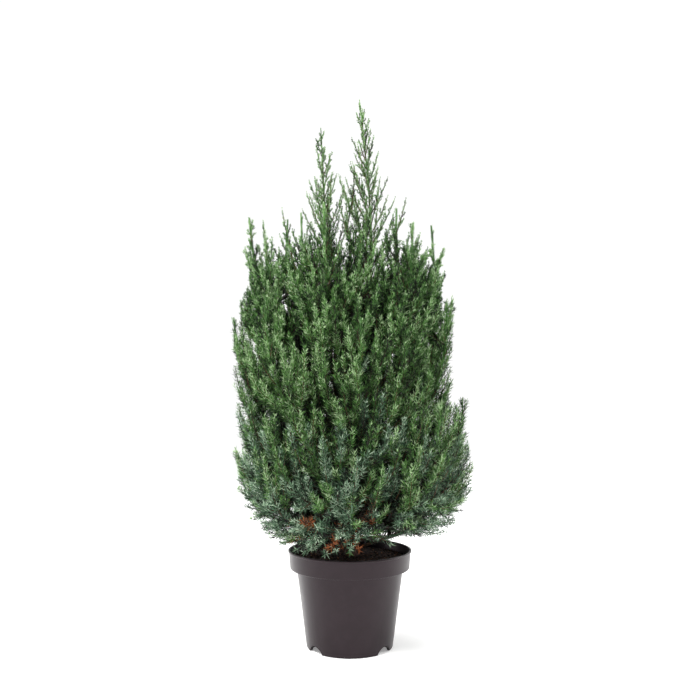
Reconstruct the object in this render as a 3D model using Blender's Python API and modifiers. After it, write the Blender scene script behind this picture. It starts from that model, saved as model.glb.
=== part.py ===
"""An upright garden juniper, one season from planting out, in its black nursery pot.

Metres, +Z up. The origin is the centre of the pot's flat underside, -Y is the front.
The crown is a set of plumes, in rings from the skirt over the pot's rim up to the
shoulders under the two leaders. Each plume is one foliage node: a leafy core round its
own stem, and sprays that stand out of it and turn upwards. It grows on from the end of
its bough, or straight from the trunk, and keeps to the space nearest its own stem.
"""

import math
import random

import bmesh
import bpy
import numpy as np
from mathutils import Matrix, Vector

GAP = 0.0003            # between neighbouring pieces
SEED = 8270

# Pot, a 19 cm container of about 3 litres
RIM_RADIUS = 0.095
POT_HEIGHT = 0.1446
LIP_HEIGHT = 0.0023
LIP_STEP = 0.0012
COLLAR_HEIGHT = 0.0273
COLLAR_FOOT_RADIUS = 0.0918
BODY_TOP_RADIUS = 0.0817
BODY_FOOT_RADIUS = 0.0670
CHAMFER_HEIGHT = 0.0090
BASE_RADIUS = 0.0585
WALL = 0.0016
FLOOR = 0.0022
POT_SIDES = 40
NOTCH_COUNT = 3
NOTCH_RADIUS = 0.0128   # of the rounded cut, its centre below the ground line
NOTCH_DROP = 0.0033
NOTCH_TURN = 87         # degrees, where the first one is

# Soil
SOIL_TOP = 0.1345       # flat patch round the trunk
SOIL_PATCH = 0.016
SOIL_FALL = 0.0028      # from the patch to the wall
SOIL_SIDES = 24

# Trunk
TRUNK_TOP = 0.540
TRUNK_RADIUS = 0.0070
TRUNK_TOP_RADIUS = 0.0024
FLARE = 1.55            # of the radius, at the soil
FLARE_HEIGHT = 0.014
TRUNK_STEPS = 16

# Limbs
BOUGH_RADIUS = 0.0029
BOUGH_END_RADIUS = 0.0020
STEM_END_RADIUS = 0.0011
LIMB_CLEARANCE = 0.0022  # between the surfaces of two limbs
GOLDEN_ANGLE = 137.508
MOST_SWINGS = 60
PULL = 0.48              # of the chord, how far a limb keeps its first and last heading

# Foliage
CORE_RADIUS = 0.040
CORE_SHAPE = ((0.0, 0.0), (0.04, 0.0), (0.15, 0.85), (0.38, 1.0), (0.62, 0.88),
              (0.84, 0.50), (1.0, 0.0))     # along the stem, and of the core's radius
CORE_SHARE = 0.74        # of the plume's taper
TWIG_THICKNESS = 0.023
TWIG_BELLY = 0.42        # of its length, where a twig's foliage is widest
TWIG_LIFT = 0.55         # how far a twig turns upwards by its tip
LONGEST_TWIG = 0.110
SHORTEST_TWIG = 0.022
TIP_REACH = 0.005        # of the last twigs, round the very tip
SPRAY_TRIES = (1.0, 0.85, 0.70, 0.55)        # of its length, until a spray has room
CELL_MARGIN = 0.0016     # how much nearer its own stem a point of a plume lies
WOOD_CLEARANCE = 0.0012  # from foliage to wood, rim and soil

# Each ring of plumes: how many, the first one's azimuth, the span of heights where they
# leave the trunk, the tips' distance from the axis and height, a sideways shift, the rise
# towards the left, the back and both sides, the step out and down of every second tip,
# the angles from upright at the foot and the tip and that tip's step, the bare share of
# each limb, the plume's widest reach from its stem, the reach it gains for each length
# below its tip, the twigs' angles to the stem at its foot and tip, and their number.
RINGS = (
    dict(name="skirt", count=8, first=1, foot=(0.143, 0.180), radius=0.154,
         height=0.236, shift=0.004, left=0.0, back=0.0, sides=0.0, out_step=-0.020,
         down_step=0.030, leave=72, arrive=36, arrive_step=20, bare=0.24, width=0.056,
         taper=0.60, lean=(50, 30), twigs=12),
    dict(name="low", count=7, first=4, foot=(0.186, 0.236), radius=0.178,
         height=0.360, shift=0.006, left=0.0, back=0.0, sides=0.0, out_step=0.004,
         down_step=0.014, leave=76, arrive=8, arrive_step=8, bare=0.20, width=0.060,
         taper=0.50, lean=(46, 24), twigs=14),
    dict(name="waist", count=7, first=23, foot=(0.250, 0.312), radius=0.170,
         height=0.508, shift=-0.010, left=0.012, back=0.006, sides=0.0, out_step=0.005,
         down_step=0.014, leave=66, arrive=4, arrive_step=6, bare=0.20, width=0.060,
         taper=0.44, lean=(44, 20), twigs=14),
    dict(name="upper", count=6, first=13, foot=(0.322, 0.390), radius=0.152,
         height=0.652, shift=-0.008, left=0.012, back=0.012, sides=0.010, out_step=0.006,
         down_step=0.012, leave=62, arrive=1, arrive_step=5, bare=0.0, width=0.058,
         taper=0.38, lean=(42, 18), twigs=15),
    dict(name="shoulder", count=4, first=-21, foot=(0.410, 0.470), radius=0.080,
         height=0.658, shift=-0.003, left=0.0, back=0.010, sides=0.028, out_step=0.0,
         down_step=0.0, leave=40, arrive=2, arrive_step=0, bare=0.0, width=0.052,
         taper=0.38, lean=(42, 18), twigs=12),
)
OPEN_BOUGH = "skirt_8"   # on the right of the front, leafless for longer than the others
OPEN_BARE = 0.46


def outward(azimuth):
    angle = math.radians(azimuth)
    return np.array([math.cos(angle), math.sin(angle), 0.0])


def slanted(azimuth, from_upright):
    angle = math.radians(from_upright)
    return outward(azimuth) * math.sin(angle) + UP * math.cos(angle)


def unit(vector):
    return vector / np.linalg.norm(vector)


def mixed(a, b, t):
    return a + (b - a) * t


def drawn(name, number=0):
    """A number from -1 to 1 that belongs to this name and number."""
    return random.Random(f"{SEED} {name} {number}").uniform(-1, 1)


def on_curve(ends, t):
    a, b, c, d = ends
    s = 1 - t
    return a * s**3 + b * (3 * s * s * t) + c * (3 * s * t * t) + d * t**3


def heading(ends, t):
    a, b, c, d = ends
    s = 1 - t
    return unit((b - a) * (s * s) + (c - b) * (2 * s * t) + (d - c) * (t * t))


UP = np.array([0.0, 0.0, 1.0])
TRUNK = (np.array([0.002, 0.002, SOIL_TOP + GAP]), np.array([-0.005, 0.004, 0.270]),
         np.array([0.022, 0.004, 0.410]), np.array([0.032, 0.002, TRUNK_TOP]))
TALL_TIP = np.array([0.0155, 0.0, 0.856])
SECOND_FOOT = 0.258      # height where the second leader leaves the trunk
SECOND_TIP = np.array([-0.047, 0.010, 0.813])
TRUNK_LINE = np.array([on_curve(TRUNK, k / 30) for k in range(31)])


def trunk_share(height):
    low, high = 0.0, 1.0
    for _ in range(30):
        middle = (low + high) / 2
        if on_curve(TRUNK, middle)[2] < height:
            low = middle
        else:
            high = middle
    return low


def trunk_radius(t):
    radius = mixed(TRUNK_RADIUS, TRUNK_TOP_RADIUS, t**0.85)
    rise = (on_curve(TRUNK, t)[2] - SOIL_TOP) / FLARE_HEIGHT
    return radius * (1 + (FLARE - 1) * math.exp(-rise * 1.6))


def limb_radius(limb, t):
    bare = limb["bare"]
    if t < bare:
        return mixed(BOUGH_RADIUS, BOUGH_END_RADIUS, t / bare)
    return mixed(BOUGH_END_RADIUS, STEM_END_RADIUS, (t - bare) / (1 - bare))


def sampled(limb, start=0.0, end=1.0, count=36):
    """Points down the middle of a limb, and its radius at each."""
    shares = np.linspace(start, end, count)
    points = np.array([on_curve(limb["ends"], t) for t in shares])
    radii = np.array([limb_radius(limb, t) for t in shares])
    return points, radii


def nearest(points, line):
    """From each of the points, the distance to the nearest point of the line's pieces."""
    starts, ends = line[:-1], line[1:]
    along = ends - starts
    offset = points[:, None] - starts[None]
    share = np.clip((offset * along).sum(2) / (along * along).sum(1), 0, 1)
    return np.linalg.norm(offset - share[..., None] * along, axis=2).min(1)


def has_room(limb, others):
    """Whether it stays clear of the other limbs from the trunk's bark outwards."""
    points, radii = sampled(limb, count=60)
    outside = nearest(points, TRUNK_LINE) > TRUNK_RADIUS * 0.9
    points, radii = points[outside], radii[outside]
    for other in others:
        line, widths = sampled(other)
        room = nearest(points, line) - radii - widths.mean()
        if room.min() < LIMB_CLEARANCE:
            return False
    return True


def leaders():
    """The trunk's own leader, and the second one that leaves it low down."""
    look = dict(width=0.054, taper=0.30, lean=(38, 20))
    tall = (TRUNK[3], TRUNK[3] + heading(TRUNK, 1) * 0.10,
            TALL_TIP + np.array([0.012, 0.0, -0.110]), TALL_TIP)
    foot = on_curve(TRUNK, trunk_share(SECOND_FOOT))
    second = (foot, foot + np.array([-0.040, 0.018, 0.080]),
              SECOND_TIP + np.array([0.012, 0.0, -0.180]), SECOND_TIP)
    return [dict(look, name="tall_leader", ends=tall, bare=0.0, twigs=19),
            dict(look, name="second_leader", ends=second, bare=0.46, twigs=17)]


def ring_limbs(ring, others):
    """One ring's limbs. Each swings round and up the trunk until it has room."""
    limbs = []
    step = 360 / ring["count"]
    for i in range(ring["count"]):
        name = f"{ring['name']}_{i + 1}"
        side = 1 if i % 2 else -1
        aim = ring["first"] + i * step + drawn(name, 1) * step * 0.10
        reach = ring["radius"] + side * ring["out_step"] + drawn(name, 2) * 0.006
        height = ring["height"] - side * ring["down_step"] + drawn(name, 3) * 0.008
        arrive = ring["arrive"] + side * ring["arrive_step"]
        for attempt in range(MOST_SWINGS):
            azimuth = aim + (attempt + 1) // 2 * (1 if attempt % 2 else -1)
            share = (i * 0.618 + attempt * 0.13) % 1
            foot = on_curve(TRUNK, trunk_share(mixed(*ring["foot"], share)))
            angle = math.radians(azimuth)
            rise = (math.sin(angle) * ring["back"] - math.cos(angle) * ring["left"]
                    + math.cos(2 * angle) * ring["sides"])
            tip = outward(azimuth) * reach + UP * (height + rise)
            tip[0] += ring["shift"]
            pull = np.linalg.norm(tip - foot) * PULL
            ends = (foot, foot + slanted(azimuth, ring["leave"]) * pull,
                    tip - slanted(azimuth, arrive) * pull, tip)
            limb = dict(ring, name=name, ends=ends)
            if name == OPEN_BOUGH:
                limb["bare"] = OPEN_BARE
            if has_room(limb, others + limbs):
                break
        limbs.append(limb)
    return limbs


def all_limbs():
    limbs = leaders()
    for ring in reversed(RINGS):
        limbs += ring_limbs(ring, limbs)
    return limbs


def twigs_of(limb):
    """Root, first heading, last heading and length of each twig along a plume's stem."""
    shares = np.linspace(limb["bare"], 1, 40)
    line = np.array([on_curve(limb["ends"], t) for t in shares])
    run = np.concatenate([[0], np.cumsum(np.linalg.norm(np.diff(line, axis=0), axis=1))])
    turn = drawn(limb["name"], 9) * 180
    twigs = []
    for k in range(limb["twigs"]):
        up_stem = (k + 0.5) / limb["twigs"]
        place = run[-1] * mixed(0.06, 0.90, up_stem)
        t = float(np.interp(place, run, shares))
        along = heading(limb["ends"], t)
        side = unit(np.cross(along, [0.3, 1.0, 0.2]))
        angle = math.radians(turn + k * GOLDEN_ANGLE)
        radial = side * math.cos(angle) + np.cross(along, side) * math.sin(angle)
        lean = math.radians(mixed(*limb["lean"], up_stem))
        across = limb["width"] / math.sin(lean)
        taper = limb["taper"]
        to_tip = (taper * (run[-1] - place) + TIP_REACH) / (
            math.sin(lean) + taper * math.cos(lean))
        length = min(LONGEST_TWIG, across, to_tip) * (1 + 0.1 * drawn(limb["name"], 20 + k))
        first = along * math.cos(lean) + radial * math.sin(lean)
        last = unit(first + UP * TWIG_LIFT)
        twigs.append(dict(root=on_curve(limb["ends"], t), first=first, last=last,
                          length=length))
    return twigs


def on_twig(twig, share):
    bend = twig["last"] - twig["first"]
    return twig["root"] + (twig["first"] * share + bend * share * share / 2) * twig["length"]


def sprays_of(limb):
    """Root, tip and thickness of each twig's spray."""
    for twig in twigs_of(limb):
        if twig["length"] > SHORTEST_TWIG:
            thick = TWIG_THICKNESS * mixed(0.55, 1, min(1, twig["length"] / 0.08))
            yield twig["root"], on_twig(twig, 1), thick


def frame_along(way):
    """Two directions square to this one and to each other."""
    side = unit(np.cross(way, [0.13, 0.31, 0.94] if abs(way[2]) < 0.9 else [1.0, 0.2, 0.0]))
    return side, np.cross(way, side)


def spray_points(root, tip, thick):
    """Points over the surface of a spray."""
    way = unit(tip - root)
    side, other = frame_along(way)
    belly = mixed(root, tip, TWIG_BELLY)
    rim = [belly + (side * a + other * b) * thick / 2
           for a, b in ((1, 0), (0.5, 0.5), (0, 1), (-0.5, 0.5),
                        (-1, 0), (-0.5, -0.5), (0, -1), (0.5, -0.5))]
    points = [root, tip]
    for share in (0.0, 0.25, 0.5, 0.75):
        points += [mixed(point, tip, share) for point in rim]
    points += [mixed(point, root, 0.5) for point in rim]
    return np.array(points)


class Room:
    """What a plume has to keep clear of, for each of the limbs."""

    def __init__(self, limbs):
        self.stems = {limb["name"]: sampled(limb, limb["bare"]) for limb in limbs}
        self.solid = [sampled(limb, 0.0, limb["bare"]) for limb in limbs if limb["bare"]]
        shares = np.linspace(0, 1, 40)
        self.solid.append((np.array([on_curve(TRUNK, t) for t in shares]),
                           np.array([trunk_radius(t) for t in shares])))

    def holds(self, name, points):
        radius = np.hypot(points[:, 0], points[:, 1])
        above = points[:, 2]
        inside = radius < RIM_RADIUS - 0.010
        over_rim = ~inside & (radius < RIM_RADIUS + 0.002)
        if (over_rim & (above < POT_HEIGHT + WOOD_CLEARANCE)).any():
            return False
        if (inside & (above < SOIL_TOP + WOOD_CLEARANCE)).any():
            return False
        for line, widths in self.solid:
            if (nearest(points, line) < widths.max() + WOOD_CLEARANCE).any():
                return False
        own = nearest(points, self.stems[name][0])
        for other, (line, _) in self.stems.items():
            if other != name and (nearest(points, line) < own + CELL_MARGIN).any():
                return False
        return True

    def round_stem(self, name, point):
        """How far a plume's own space reaches round this point of its stem."""
        here = point[None]
        limits = [(point[2] - POT_HEIGHT) * 0.7]
        for line, widths in self.solid:
            limits.append(nearest(here, line)[0] - widths.max() - WOOD_CLEARANCE)
        for other, (line, _) in self.stems.items():
            if other != name:
                limits.append(nearest(here, line)[0] * 0.5 - CELL_MARGIN)
        return min(limits)


def material(name, colour, roughness):
    made = bpy.data.materials.new(name)
    made.use_nodes = True
    shader = made.node_tree.nodes["Principled BSDF"]
    shader.inputs["Base Color"].default_value = (*colour, 1)
    shader.inputs["Roughness"].default_value = roughness
    shader.inputs["Metallic"].default_value = 0.0
    made.diffuse_color = (*colour, 1)
    return made


def placed(name, mesh, collection):
    made = bpy.data.objects.new(name, mesh)
    collection.objects.link(made)
    return made


def face_out(shaped):
    if shaped.calc_volume(signed=True) < 0:
        bmesh.ops.reverse_faces(shaped, faces=shaped.faces)


def tube(name, points, radii, collection, resolution=0):
    """A mesh that follows the points, as wide at each as its radius says."""
    curve = bpy.data.curves.new(name, "CURVE")
    curve.dimensions = "3D"
    curve.bevel_depth = 1.0
    curve.bevel_resolution = resolution
    curve.use_fill_caps = True
    curve.twist_mode = "MINIMUM"
    spline = curve.splines.new("POLY")
    spline.points.add(len(points) - 1)
    for place, point, radius in zip(spline.points, points, radii):
        place.co = (*point, 1)
        place.radius = radius
    guide = placed(name + "_guide", curve, collection)
    graph = bpy.context.evaluated_depsgraph_get()
    mesh = bpy.data.meshes.new_from_object(guide.evaluated_get(graph))
    bpy.data.objects.remove(guide)
    cleaned = bmesh.new()
    cleaned.from_mesh(mesh)
    bmesh.ops.remove_doubles(cleaned, verts=cleaned.verts, dist=1e-6)
    face_out(cleaned)
    cleaned.to_mesh(mesh)
    cleaned.free()
    return placed(name, mesh, collection)


def spray_object(name, root, tip, thick, collection):
    """A three-sided spindle from root to tip, widest nearer the root."""
    way = unit(tip - root)
    side, other = frame_along(way)
    length = np.linalg.norm(tip - root)
    shaped = bmesh.new()
    bmesh.ops.create_uvsphere(shaped, u_segments=3, v_segments=2, radius=1)
    for vertex in shaped.verts:
        if vertex.co.z > 0.5:
            vertex.co.z = length
        elif vertex.co.z < -0.5:
            vertex.co.z = 0
        else:
            vertex.co.z = length * TWIG_BELLY
        vertex.co.x *= thick / 2
        vertex.co.y *= thick / 2
    turn = Matrix((side, other, way)).transposed().to_4x4()
    shaped.transform(Matrix.Translation(Vector(root)) @ turn)
    face_out(shaped)
    mesh = bpy.data.meshes.new(name)
    shaped.to_mesh(mesh)
    shaped.free()
    return placed(name, mesh, collection)


def boolean(target, operation, tool):
    """Cuts or joins for good, by one object or by all of a collection."""
    change = target.modifiers.new(operation.lower(), "BOOLEAN")
    change.operation = operation
    if isinstance(tool, bpy.types.Collection):
        change.operand_type = "COLLECTION"
        change.collection = tool
    else:
        change.object = tool
    graph = bpy.context.evaluated_depsgraph_get()
    mesh = bpy.data.meshes.new_from_object(target.evaluated_get(graph))
    target.modifiers.clear()
    target.data = mesh


def islands(shaped):
    """The vertices of each separate piece of a mesh."""
    left = set(shaped.verts)
    while left:
        piece, edge = set(), [left.pop()]
        while edge:
            vertex = edge.pop()
            piece.add(vertex)
            for link in vertex.link_edges:
                neighbour = link.other_vert(vertex)
                if neighbour in left:
                    left.discard(neighbour)
                    edge.append(neighbour)
        yield piece


def keep_body(target):
    """Drops loose scraps, and fills a hollow that the joining sealed."""
    shaped = bmesh.new()
    shaped.from_mesh(target.data)
    pieces = sorted(islands(shaped), key=lambda piece: np.ptp([v.co.z for v in piece]))
    for piece in pieces[:-1]:
        bmesh.ops.delete(shaped, geom=list(piece), context="VERTS")
    bmesh.ops.triangulate(shaped, faces=shaped.faces)
    shaped.to_mesh(target.data)
    shaped.free()


def turned(name, profile, sides, collection, look):
    """A profile turned about Z. It runs down the outer side from the top."""
    mesh = bpy.data.meshes.new(name)
    mesh.from_pydata([(radius, 0, height) for radius, height in profile],
                     [(i, i + 1) for i in range(len(profile) - 1)], [])
    made = placed(name, mesh, collection)
    screw = made.modifiers.new("turn", "SCREW")
    screw.steps = sides
    screw.render_steps = sides
    screw.use_merge_vertices = True
    screw.merge_threshold = 0.00001
    made.data.materials.append(look)
    return made


def pot(collection, cutters):
    collar_foot = POT_HEIGHT - COLLAR_HEIGHT
    under_lip = POT_HEIGHT - LIP_HEIGHT
    outer = [
        (RIM_RADIUS, POT_HEIGHT - 0.0005),
        (RIM_RADIUS, under_lip),
        (RIM_RADIUS - LIP_STEP, under_lip - 0.0006),
        (COLLAR_FOOT_RADIUS, collar_foot + 0.0016),
        (COLLAR_FOOT_RADIUS - 0.0012, collar_foot),
        (BODY_TOP_RADIUS + 0.0008, collar_foot - 0.0004),
        (BODY_TOP_RADIUS, collar_foot - 0.0018),
        (BODY_FOOT_RADIUS, CHAMFER_HEIGHT),
        (BASE_RADIUS + 0.0008, 0.0007),
        (BASE_RADIUS, 0.0),
        (0.0, 0.0),
    ]
    inner = [
        (0.0, FLOOR),
        (BASE_RADIUS - 0.0010, FLOOR),
        (BODY_FOOT_RADIUS - WALL, CHAMFER_HEIGHT + 0.0006),
        (BODY_TOP_RADIUS - WALL, collar_foot - 0.0002),
        (BODY_TOP_RADIUS - WALL + 0.0010, collar_foot + WALL),
        (COLLAR_FOOT_RADIUS - WALL - 0.0010, collar_foot + WALL + 0.0004),
        (RIM_RADIUS - LIP_STEP - WALL, under_lip - 0.0006),
        (RIM_RADIUS - LIP_STEP - WALL, POT_HEIGHT - 0.0004),
        (RIM_RADIUS - 0.0020, POT_HEIGHT),
        (RIM_RADIUS - 0.0006, POT_HEIGHT),
    ]
    plastic = material("black_pot_plastic", (0.035, 0.033, 0.034), 0.42)
    made = turned("pot", outer + inner + outer[:1], POT_SIDES, collection, plastic)
    for i in range(NOTCH_COUNT):
        azimuth = NOTCH_TURN + i * 360 / NOTCH_COUNT
        middle = outward(azimuth) * (BASE_RADIUS + 0.007)
        bpy.ops.mesh.primitive_cylinder_add(
            vertices=20, radius=NOTCH_RADIUS, depth=0.026,
            location=(middle[0], middle[1], -NOTCH_DROP),
            rotation=(math.pi / 2, 0, math.radians(azimuth + 90)))
        cutter = bpy.context.object
        cutter.name = f"drainage_notch_{i + 1}"
        for home in cutter.users_collection:
            home.objects.unlink(cutter)
        cutters.objects.link(cutter)
        cutter.hide_render = True
        cutter.display_type = "WIRE"
        cut = made.modifiers.new(cutter.name, "BOOLEAN")
        cut.operation = "DIFFERENCE"
        cut.object = cutter


def soil(collection):
    collar_foot = POT_HEIGHT - COLLAR_HEIGHT
    ledge = collar_foot + WALL + 0.0004 + GAP
    side = RIM_RADIUS - LIP_STEP - WALL - GAP
    foot = COLLAR_FOOT_RADIUS - WALL - 0.0010 - GAP
    edge = SOIL_TOP - SOIL_FALL
    share = (edge - ledge) / (POT_HEIGHT - LIP_HEIGHT - ledge)
    profile = [
        (0.0, SOIL_TOP),
        (SOIL_PATCH, SOIL_TOP),
        (mixed(SOIL_PATCH, foot, 0.5), SOIL_TOP - SOIL_FALL * 0.35),
        (mixed(foot, side, share), edge),
        (foot, ledge),
        (BODY_TOP_RADIUS - WALL - GAP, ledge - 0.0002),
        (BODY_TOP_RADIUS - WALL - GAP * 1.2, collar_foot - 0.0004),
        (BODY_FOOT_RADIUS - WALL - GAP, CHAMFER_HEIGHT + 0.0010),
        (BASE_RADIUS - 0.0016, FLOOR + GAP),
        (0.0, FLOOR + GAP),
    ]
    peat = material("peat_and_bark", (0.060, 0.035, 0.022), 0.95)
    turned("soil", profile, SOIL_SIDES, collection, peat)


def trunk(collection, cutters):
    shares = [(k / TRUNK_STEPS) ** 1.5 for k in range(TRUNK_STEPS + 1)]
    points = [on_curve(TRUNK, t) for t in shares]
    radii = [trunk_radius(t) for t in shares]
    made = tube("trunk", points, radii, collection, 2)
    for vertex in made.data.vertices:
        if vertex.co.z < SOIL_TOP + GAP * 5:
            vertex.co.z = SOIL_TOP + GAP
    bark = material("red_brown_bark", (0.16, 0.075, 0.045), 0.85)
    made.data.materials.append(bark)
    grown = tube("trunk_clearance", points, [radius + GAP for radius in radii], cutters, 2)
    grown.hide_render = True
    grown.display_type = "WIRE"
    return bark, grown


def bough(limb, collection, bark, trunk_cutter):
    shares = np.linspace(0, limb["bare"], 6)
    points = [on_curve(limb["ends"], t) for t in shares]
    radii = [limb_radius(limb, t) for t in shares]
    made = tube(limb["name"] + "_bough", points, radii, collection, 1)
    boolean(made, "DIFFERENCE", trunk_cutter)
    keep_body(made)
    made.data.materials.clear()
    made.data.materials.append(bark)


def core_of(limb, room, collection):
    """A plume's stem, and the dense foliage round it."""
    start = limb["bare"]
    length = np.linalg.norm(limb["ends"][3] - on_curve(limb["ends"], start))
    if start or limb["name"] == "tall_leader":
        start += GAP / length * (1 - start)
    places = [place for place, _ in CORE_SHAPE]
    points = []
    radii = []
    for k, (place, width) in enumerate(CORE_SHAPE):
        t = mixed(start, 1, place)
        point = on_curve(limb["ends"], t)
        before = places[max(0, k - 1)]
        after = places[min(len(places) - 1, k + 1)]
        about = np.linspace(mixed(place, before, 0.35), mixed(place, after, 0.35), 5)
        clear = min(room.round_stem(limb["name"], on_curve(limb["ends"], mixed(start, 1, u)))
                    for u in about)
        to_tip = np.linalg.norm(limb["ends"][3] - point)
        radius = width * min(CORE_RADIUS, clear, limb["taper"] * to_tip * CORE_SHARE)
        points.append(point)
        radii.append(max(limb_radius(limb, t), radius))
    return tube(limb["name"] + "_foliage", points, radii, collection, 1)


def foliage(limb, room, collection, needles, trunk_cutter):
    made = core_of(limb, room, collection)
    loose = bpy.data.collections.new(limb["name"] + "_sprays")
    bpy.context.scene.collection.children.link(loose)
    for root, tip, thick in sprays_of(limb):
        for length in SPRAY_TRIES:
            end = mixed(root, tip, length)
            if room.holds(limb["name"], spray_points(mixed(root, end, 0.15), end, thick)):
                spray_object("spray", root, end, thick, loose)
                break
    boolean(made, "UNION", loose)
    for spray in list(loose.objects):
        bpy.data.objects.remove(spray)
    bpy.data.collections.remove(loose)
    if not limb["bare"] and limb["name"] != "tall_leader":
        boolean(made, "DIFFERENCE", trunk_cutter)
    keep_body(made)
    made.data.materials.clear()
    made.data.materials.append(needles)


def main():
    for thing in list(bpy.data.objects):
        bpy.data.objects.remove(thing)
    plant = bpy.data.collections.new("potted_juniper")
    cutters = bpy.data.collections.new("cutters")
    bpy.context.scene.collection.children.link(plant)
    bpy.context.scene.collection.children.link(cutters)
    pot(plant, cutters)
    soil(plant)
    bark, trunk_cutter = trunk(plant, cutters)
    limbs = all_limbs()
    room = Room(limbs)
    needles = material("juniper_foliage", (0.055, 0.095, 0.040), 0.60)
    for limb in limbs:
        if limb["bare"]:
            bough(limb, plant, bark, trunk_cutter)
        foliage(limb, room, plant, needles, trunk_cutter)


main()
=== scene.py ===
# A young upright juniper in its black nursery pot: the finished look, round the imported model.
# Metres, +Z up, the front faces -Y. The crown grows by the same rule as the solids, twig by twig.

import math
import random

import bmesh
import bpy
import numpy as np
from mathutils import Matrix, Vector


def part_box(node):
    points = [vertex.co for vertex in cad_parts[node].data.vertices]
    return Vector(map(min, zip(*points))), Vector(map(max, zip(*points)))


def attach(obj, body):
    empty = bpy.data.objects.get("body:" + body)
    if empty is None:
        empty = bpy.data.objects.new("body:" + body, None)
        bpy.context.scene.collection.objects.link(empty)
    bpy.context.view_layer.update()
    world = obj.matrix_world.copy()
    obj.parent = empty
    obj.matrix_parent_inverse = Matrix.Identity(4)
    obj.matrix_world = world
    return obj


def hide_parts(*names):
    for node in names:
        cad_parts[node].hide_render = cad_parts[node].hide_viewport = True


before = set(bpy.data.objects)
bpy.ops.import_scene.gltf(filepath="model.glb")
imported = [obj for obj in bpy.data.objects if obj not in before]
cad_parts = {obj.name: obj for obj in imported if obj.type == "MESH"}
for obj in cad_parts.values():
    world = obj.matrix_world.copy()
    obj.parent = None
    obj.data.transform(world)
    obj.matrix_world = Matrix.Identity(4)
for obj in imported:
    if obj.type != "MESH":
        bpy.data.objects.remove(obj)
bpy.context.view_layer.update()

scene = bpy.context.scene
up = np.array([0.0, 0.0, 1.0])


# small helpers

def mixed(a, b, t):
    return a + (b - a) * t


def unit(vector):
    return vector / np.linalg.norm(vector, axis=-1, keepdims=True)


def outward(azimuth):
    angle = math.radians(azimuth)
    return np.array([math.cos(angle), math.sin(angle), 0.0])


def slanted(azimuth, fromUpright):
    angle = math.radians(fromUpright)
    return outward(azimuth) * math.sin(angle) + up * math.cos(angle)


def smooth(value, low, high):
    # 0 up to low, 1 from high on, and a soft step between
    t = np.clip((value - low) / (high - low), 0, 1)
    return t * t * (3 - 2 * t)


def drawn(name, number):
    # a number from -1 to 1 that belongs to this name and number
    return random.Random(f"{growth['seed']} {name} {number}").uniform(-1, 1)


def seeded(name):
    return np.random.default_rng(sum(ord(letter) * 31 ** (i % 7) for i, letter in enumerate(name)))


def anglesOf(sides):
    return np.arange(sides) * 2 * math.pi / sides


def runOf(line):
    # how far along a line each of its points is
    return np.concatenate([[0], np.cumsum(np.linalg.norm(np.diff(line, axis=0), axis=1))])


# materials

def linear(hexColour):
    parts = [int(hexColour[i:i + 2], 16) / 255 for i in (1, 3, 5)]
    return (*[c / 12.92 if c <= 0.04045 else ((c + 0.055) / 1.055) ** 2.4 for c in parts], 1.0)


def addNode(tree, kind, settings=None, values=None, links=None):
    node = tree.nodes.new(kind)
    for name, value in (settings or {}).items():
        setattr(node, name, value)
    for socket, value in (values or {}).items():
        node.inputs[socket].default_value = value
    for socket, source in (links or {}).items():
        tree.links.new(source, node.inputs[socket])
    return node


def newMaterial(name, colour, **sockets):
    made = bpy.data.materials.new(name)
    made.use_nodes = True
    shader = made.node_tree.nodes["Principled BSDF"]
    shader.inputs["Base Color"].default_value = linear(colour)
    for socket, value in sockets.items():
        shader.inputs[socket.replace("_", " ")].default_value = value
    made.diffuse_color = linear(colour)
    return made


def setRamp(node, stops):
    ramp = node.color_ramp
    while len(ramp.elements) < len(stops):
        ramp.elements.new(0.5)
    for element, (place, colour) in zip(ramp.elements, stops):
        element.position = place
        element.color = linear(colour)
    return node


def grained(made, grainMm, drawnOut, detail, roughness, strength, reliefMm, stops):
    # one noise colours and raises the surface: grains this wide, and drawnOut times as high
    tree = made.node_tree
    shader = tree.nodes["Principled BSDF"]
    where = addNode(tree, "ShaderNodeTexCoord")
    scale = 1000 / grainMm
    sized = addNode(tree, "ShaderNodeMapping", values={"Scale": (scale, scale, scale / drawnOut)},
                    links={"Vector": where.outputs["Object"]})
    grains = addNode(tree, "ShaderNodeTexNoise",
                     values={"Scale": 1.0, "Detail": detail, "Roughness": roughness},
                     links={"Vector": sized.outputs["Vector"]})
    ramp = setRamp(addNode(tree, "ShaderNodeValToRGB", links={"Fac": grains.outputs["Fac"]}), stops)
    tree.links.new(ramp.outputs["Color"], shader.inputs["Base Color"])
    bump = addNode(tree, "ShaderNodeBump", values={"Strength": strength, "Distance": reliefMm / 1000},
                   links={"Height": grains.outputs["Fac"]})
    tree.links.new(bump.outputs["Normal"], shader.inputs["Normal"])
    return made


# meshes

def placed(name, mesh, materials):
    made = bpy.data.objects.new(name, mesh)
    mesh.name = name
    scene.collection.objects.link(made)
    for material in materials:
        mesh.materials.append(material)
    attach(made, "root")
    return made


def meshOf(points, faces, tones=None, smoothed=False):
    # a mesh from arrays of points and triangles, and each triangle's material
    mesh = bpy.data.meshes.new("grown")
    count = len(faces)
    mesh.vertices.add(len(points))
    mesh.vertices.foreach_set("co", np.ascontiguousarray(points, np.float32).ravel())
    mesh.loops.add(count * 3)
    mesh.loops.foreach_set("vertex_index", np.ascontiguousarray(faces, np.int32).ravel())
    mesh.polygons.add(count)
    mesh.polygons.foreach_set("loop_start", np.arange(0, count * 3, 3, dtype=np.int32))
    if tones is not None:
        mesh.polygons.foreach_set("material_index", np.ascontiguousarray(tones, np.int32))
    mesh.polygons.foreach_set("use_smooth", np.full(count, smoothed))
    mesh.update(calc_edges=True)
    return mesh


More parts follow.
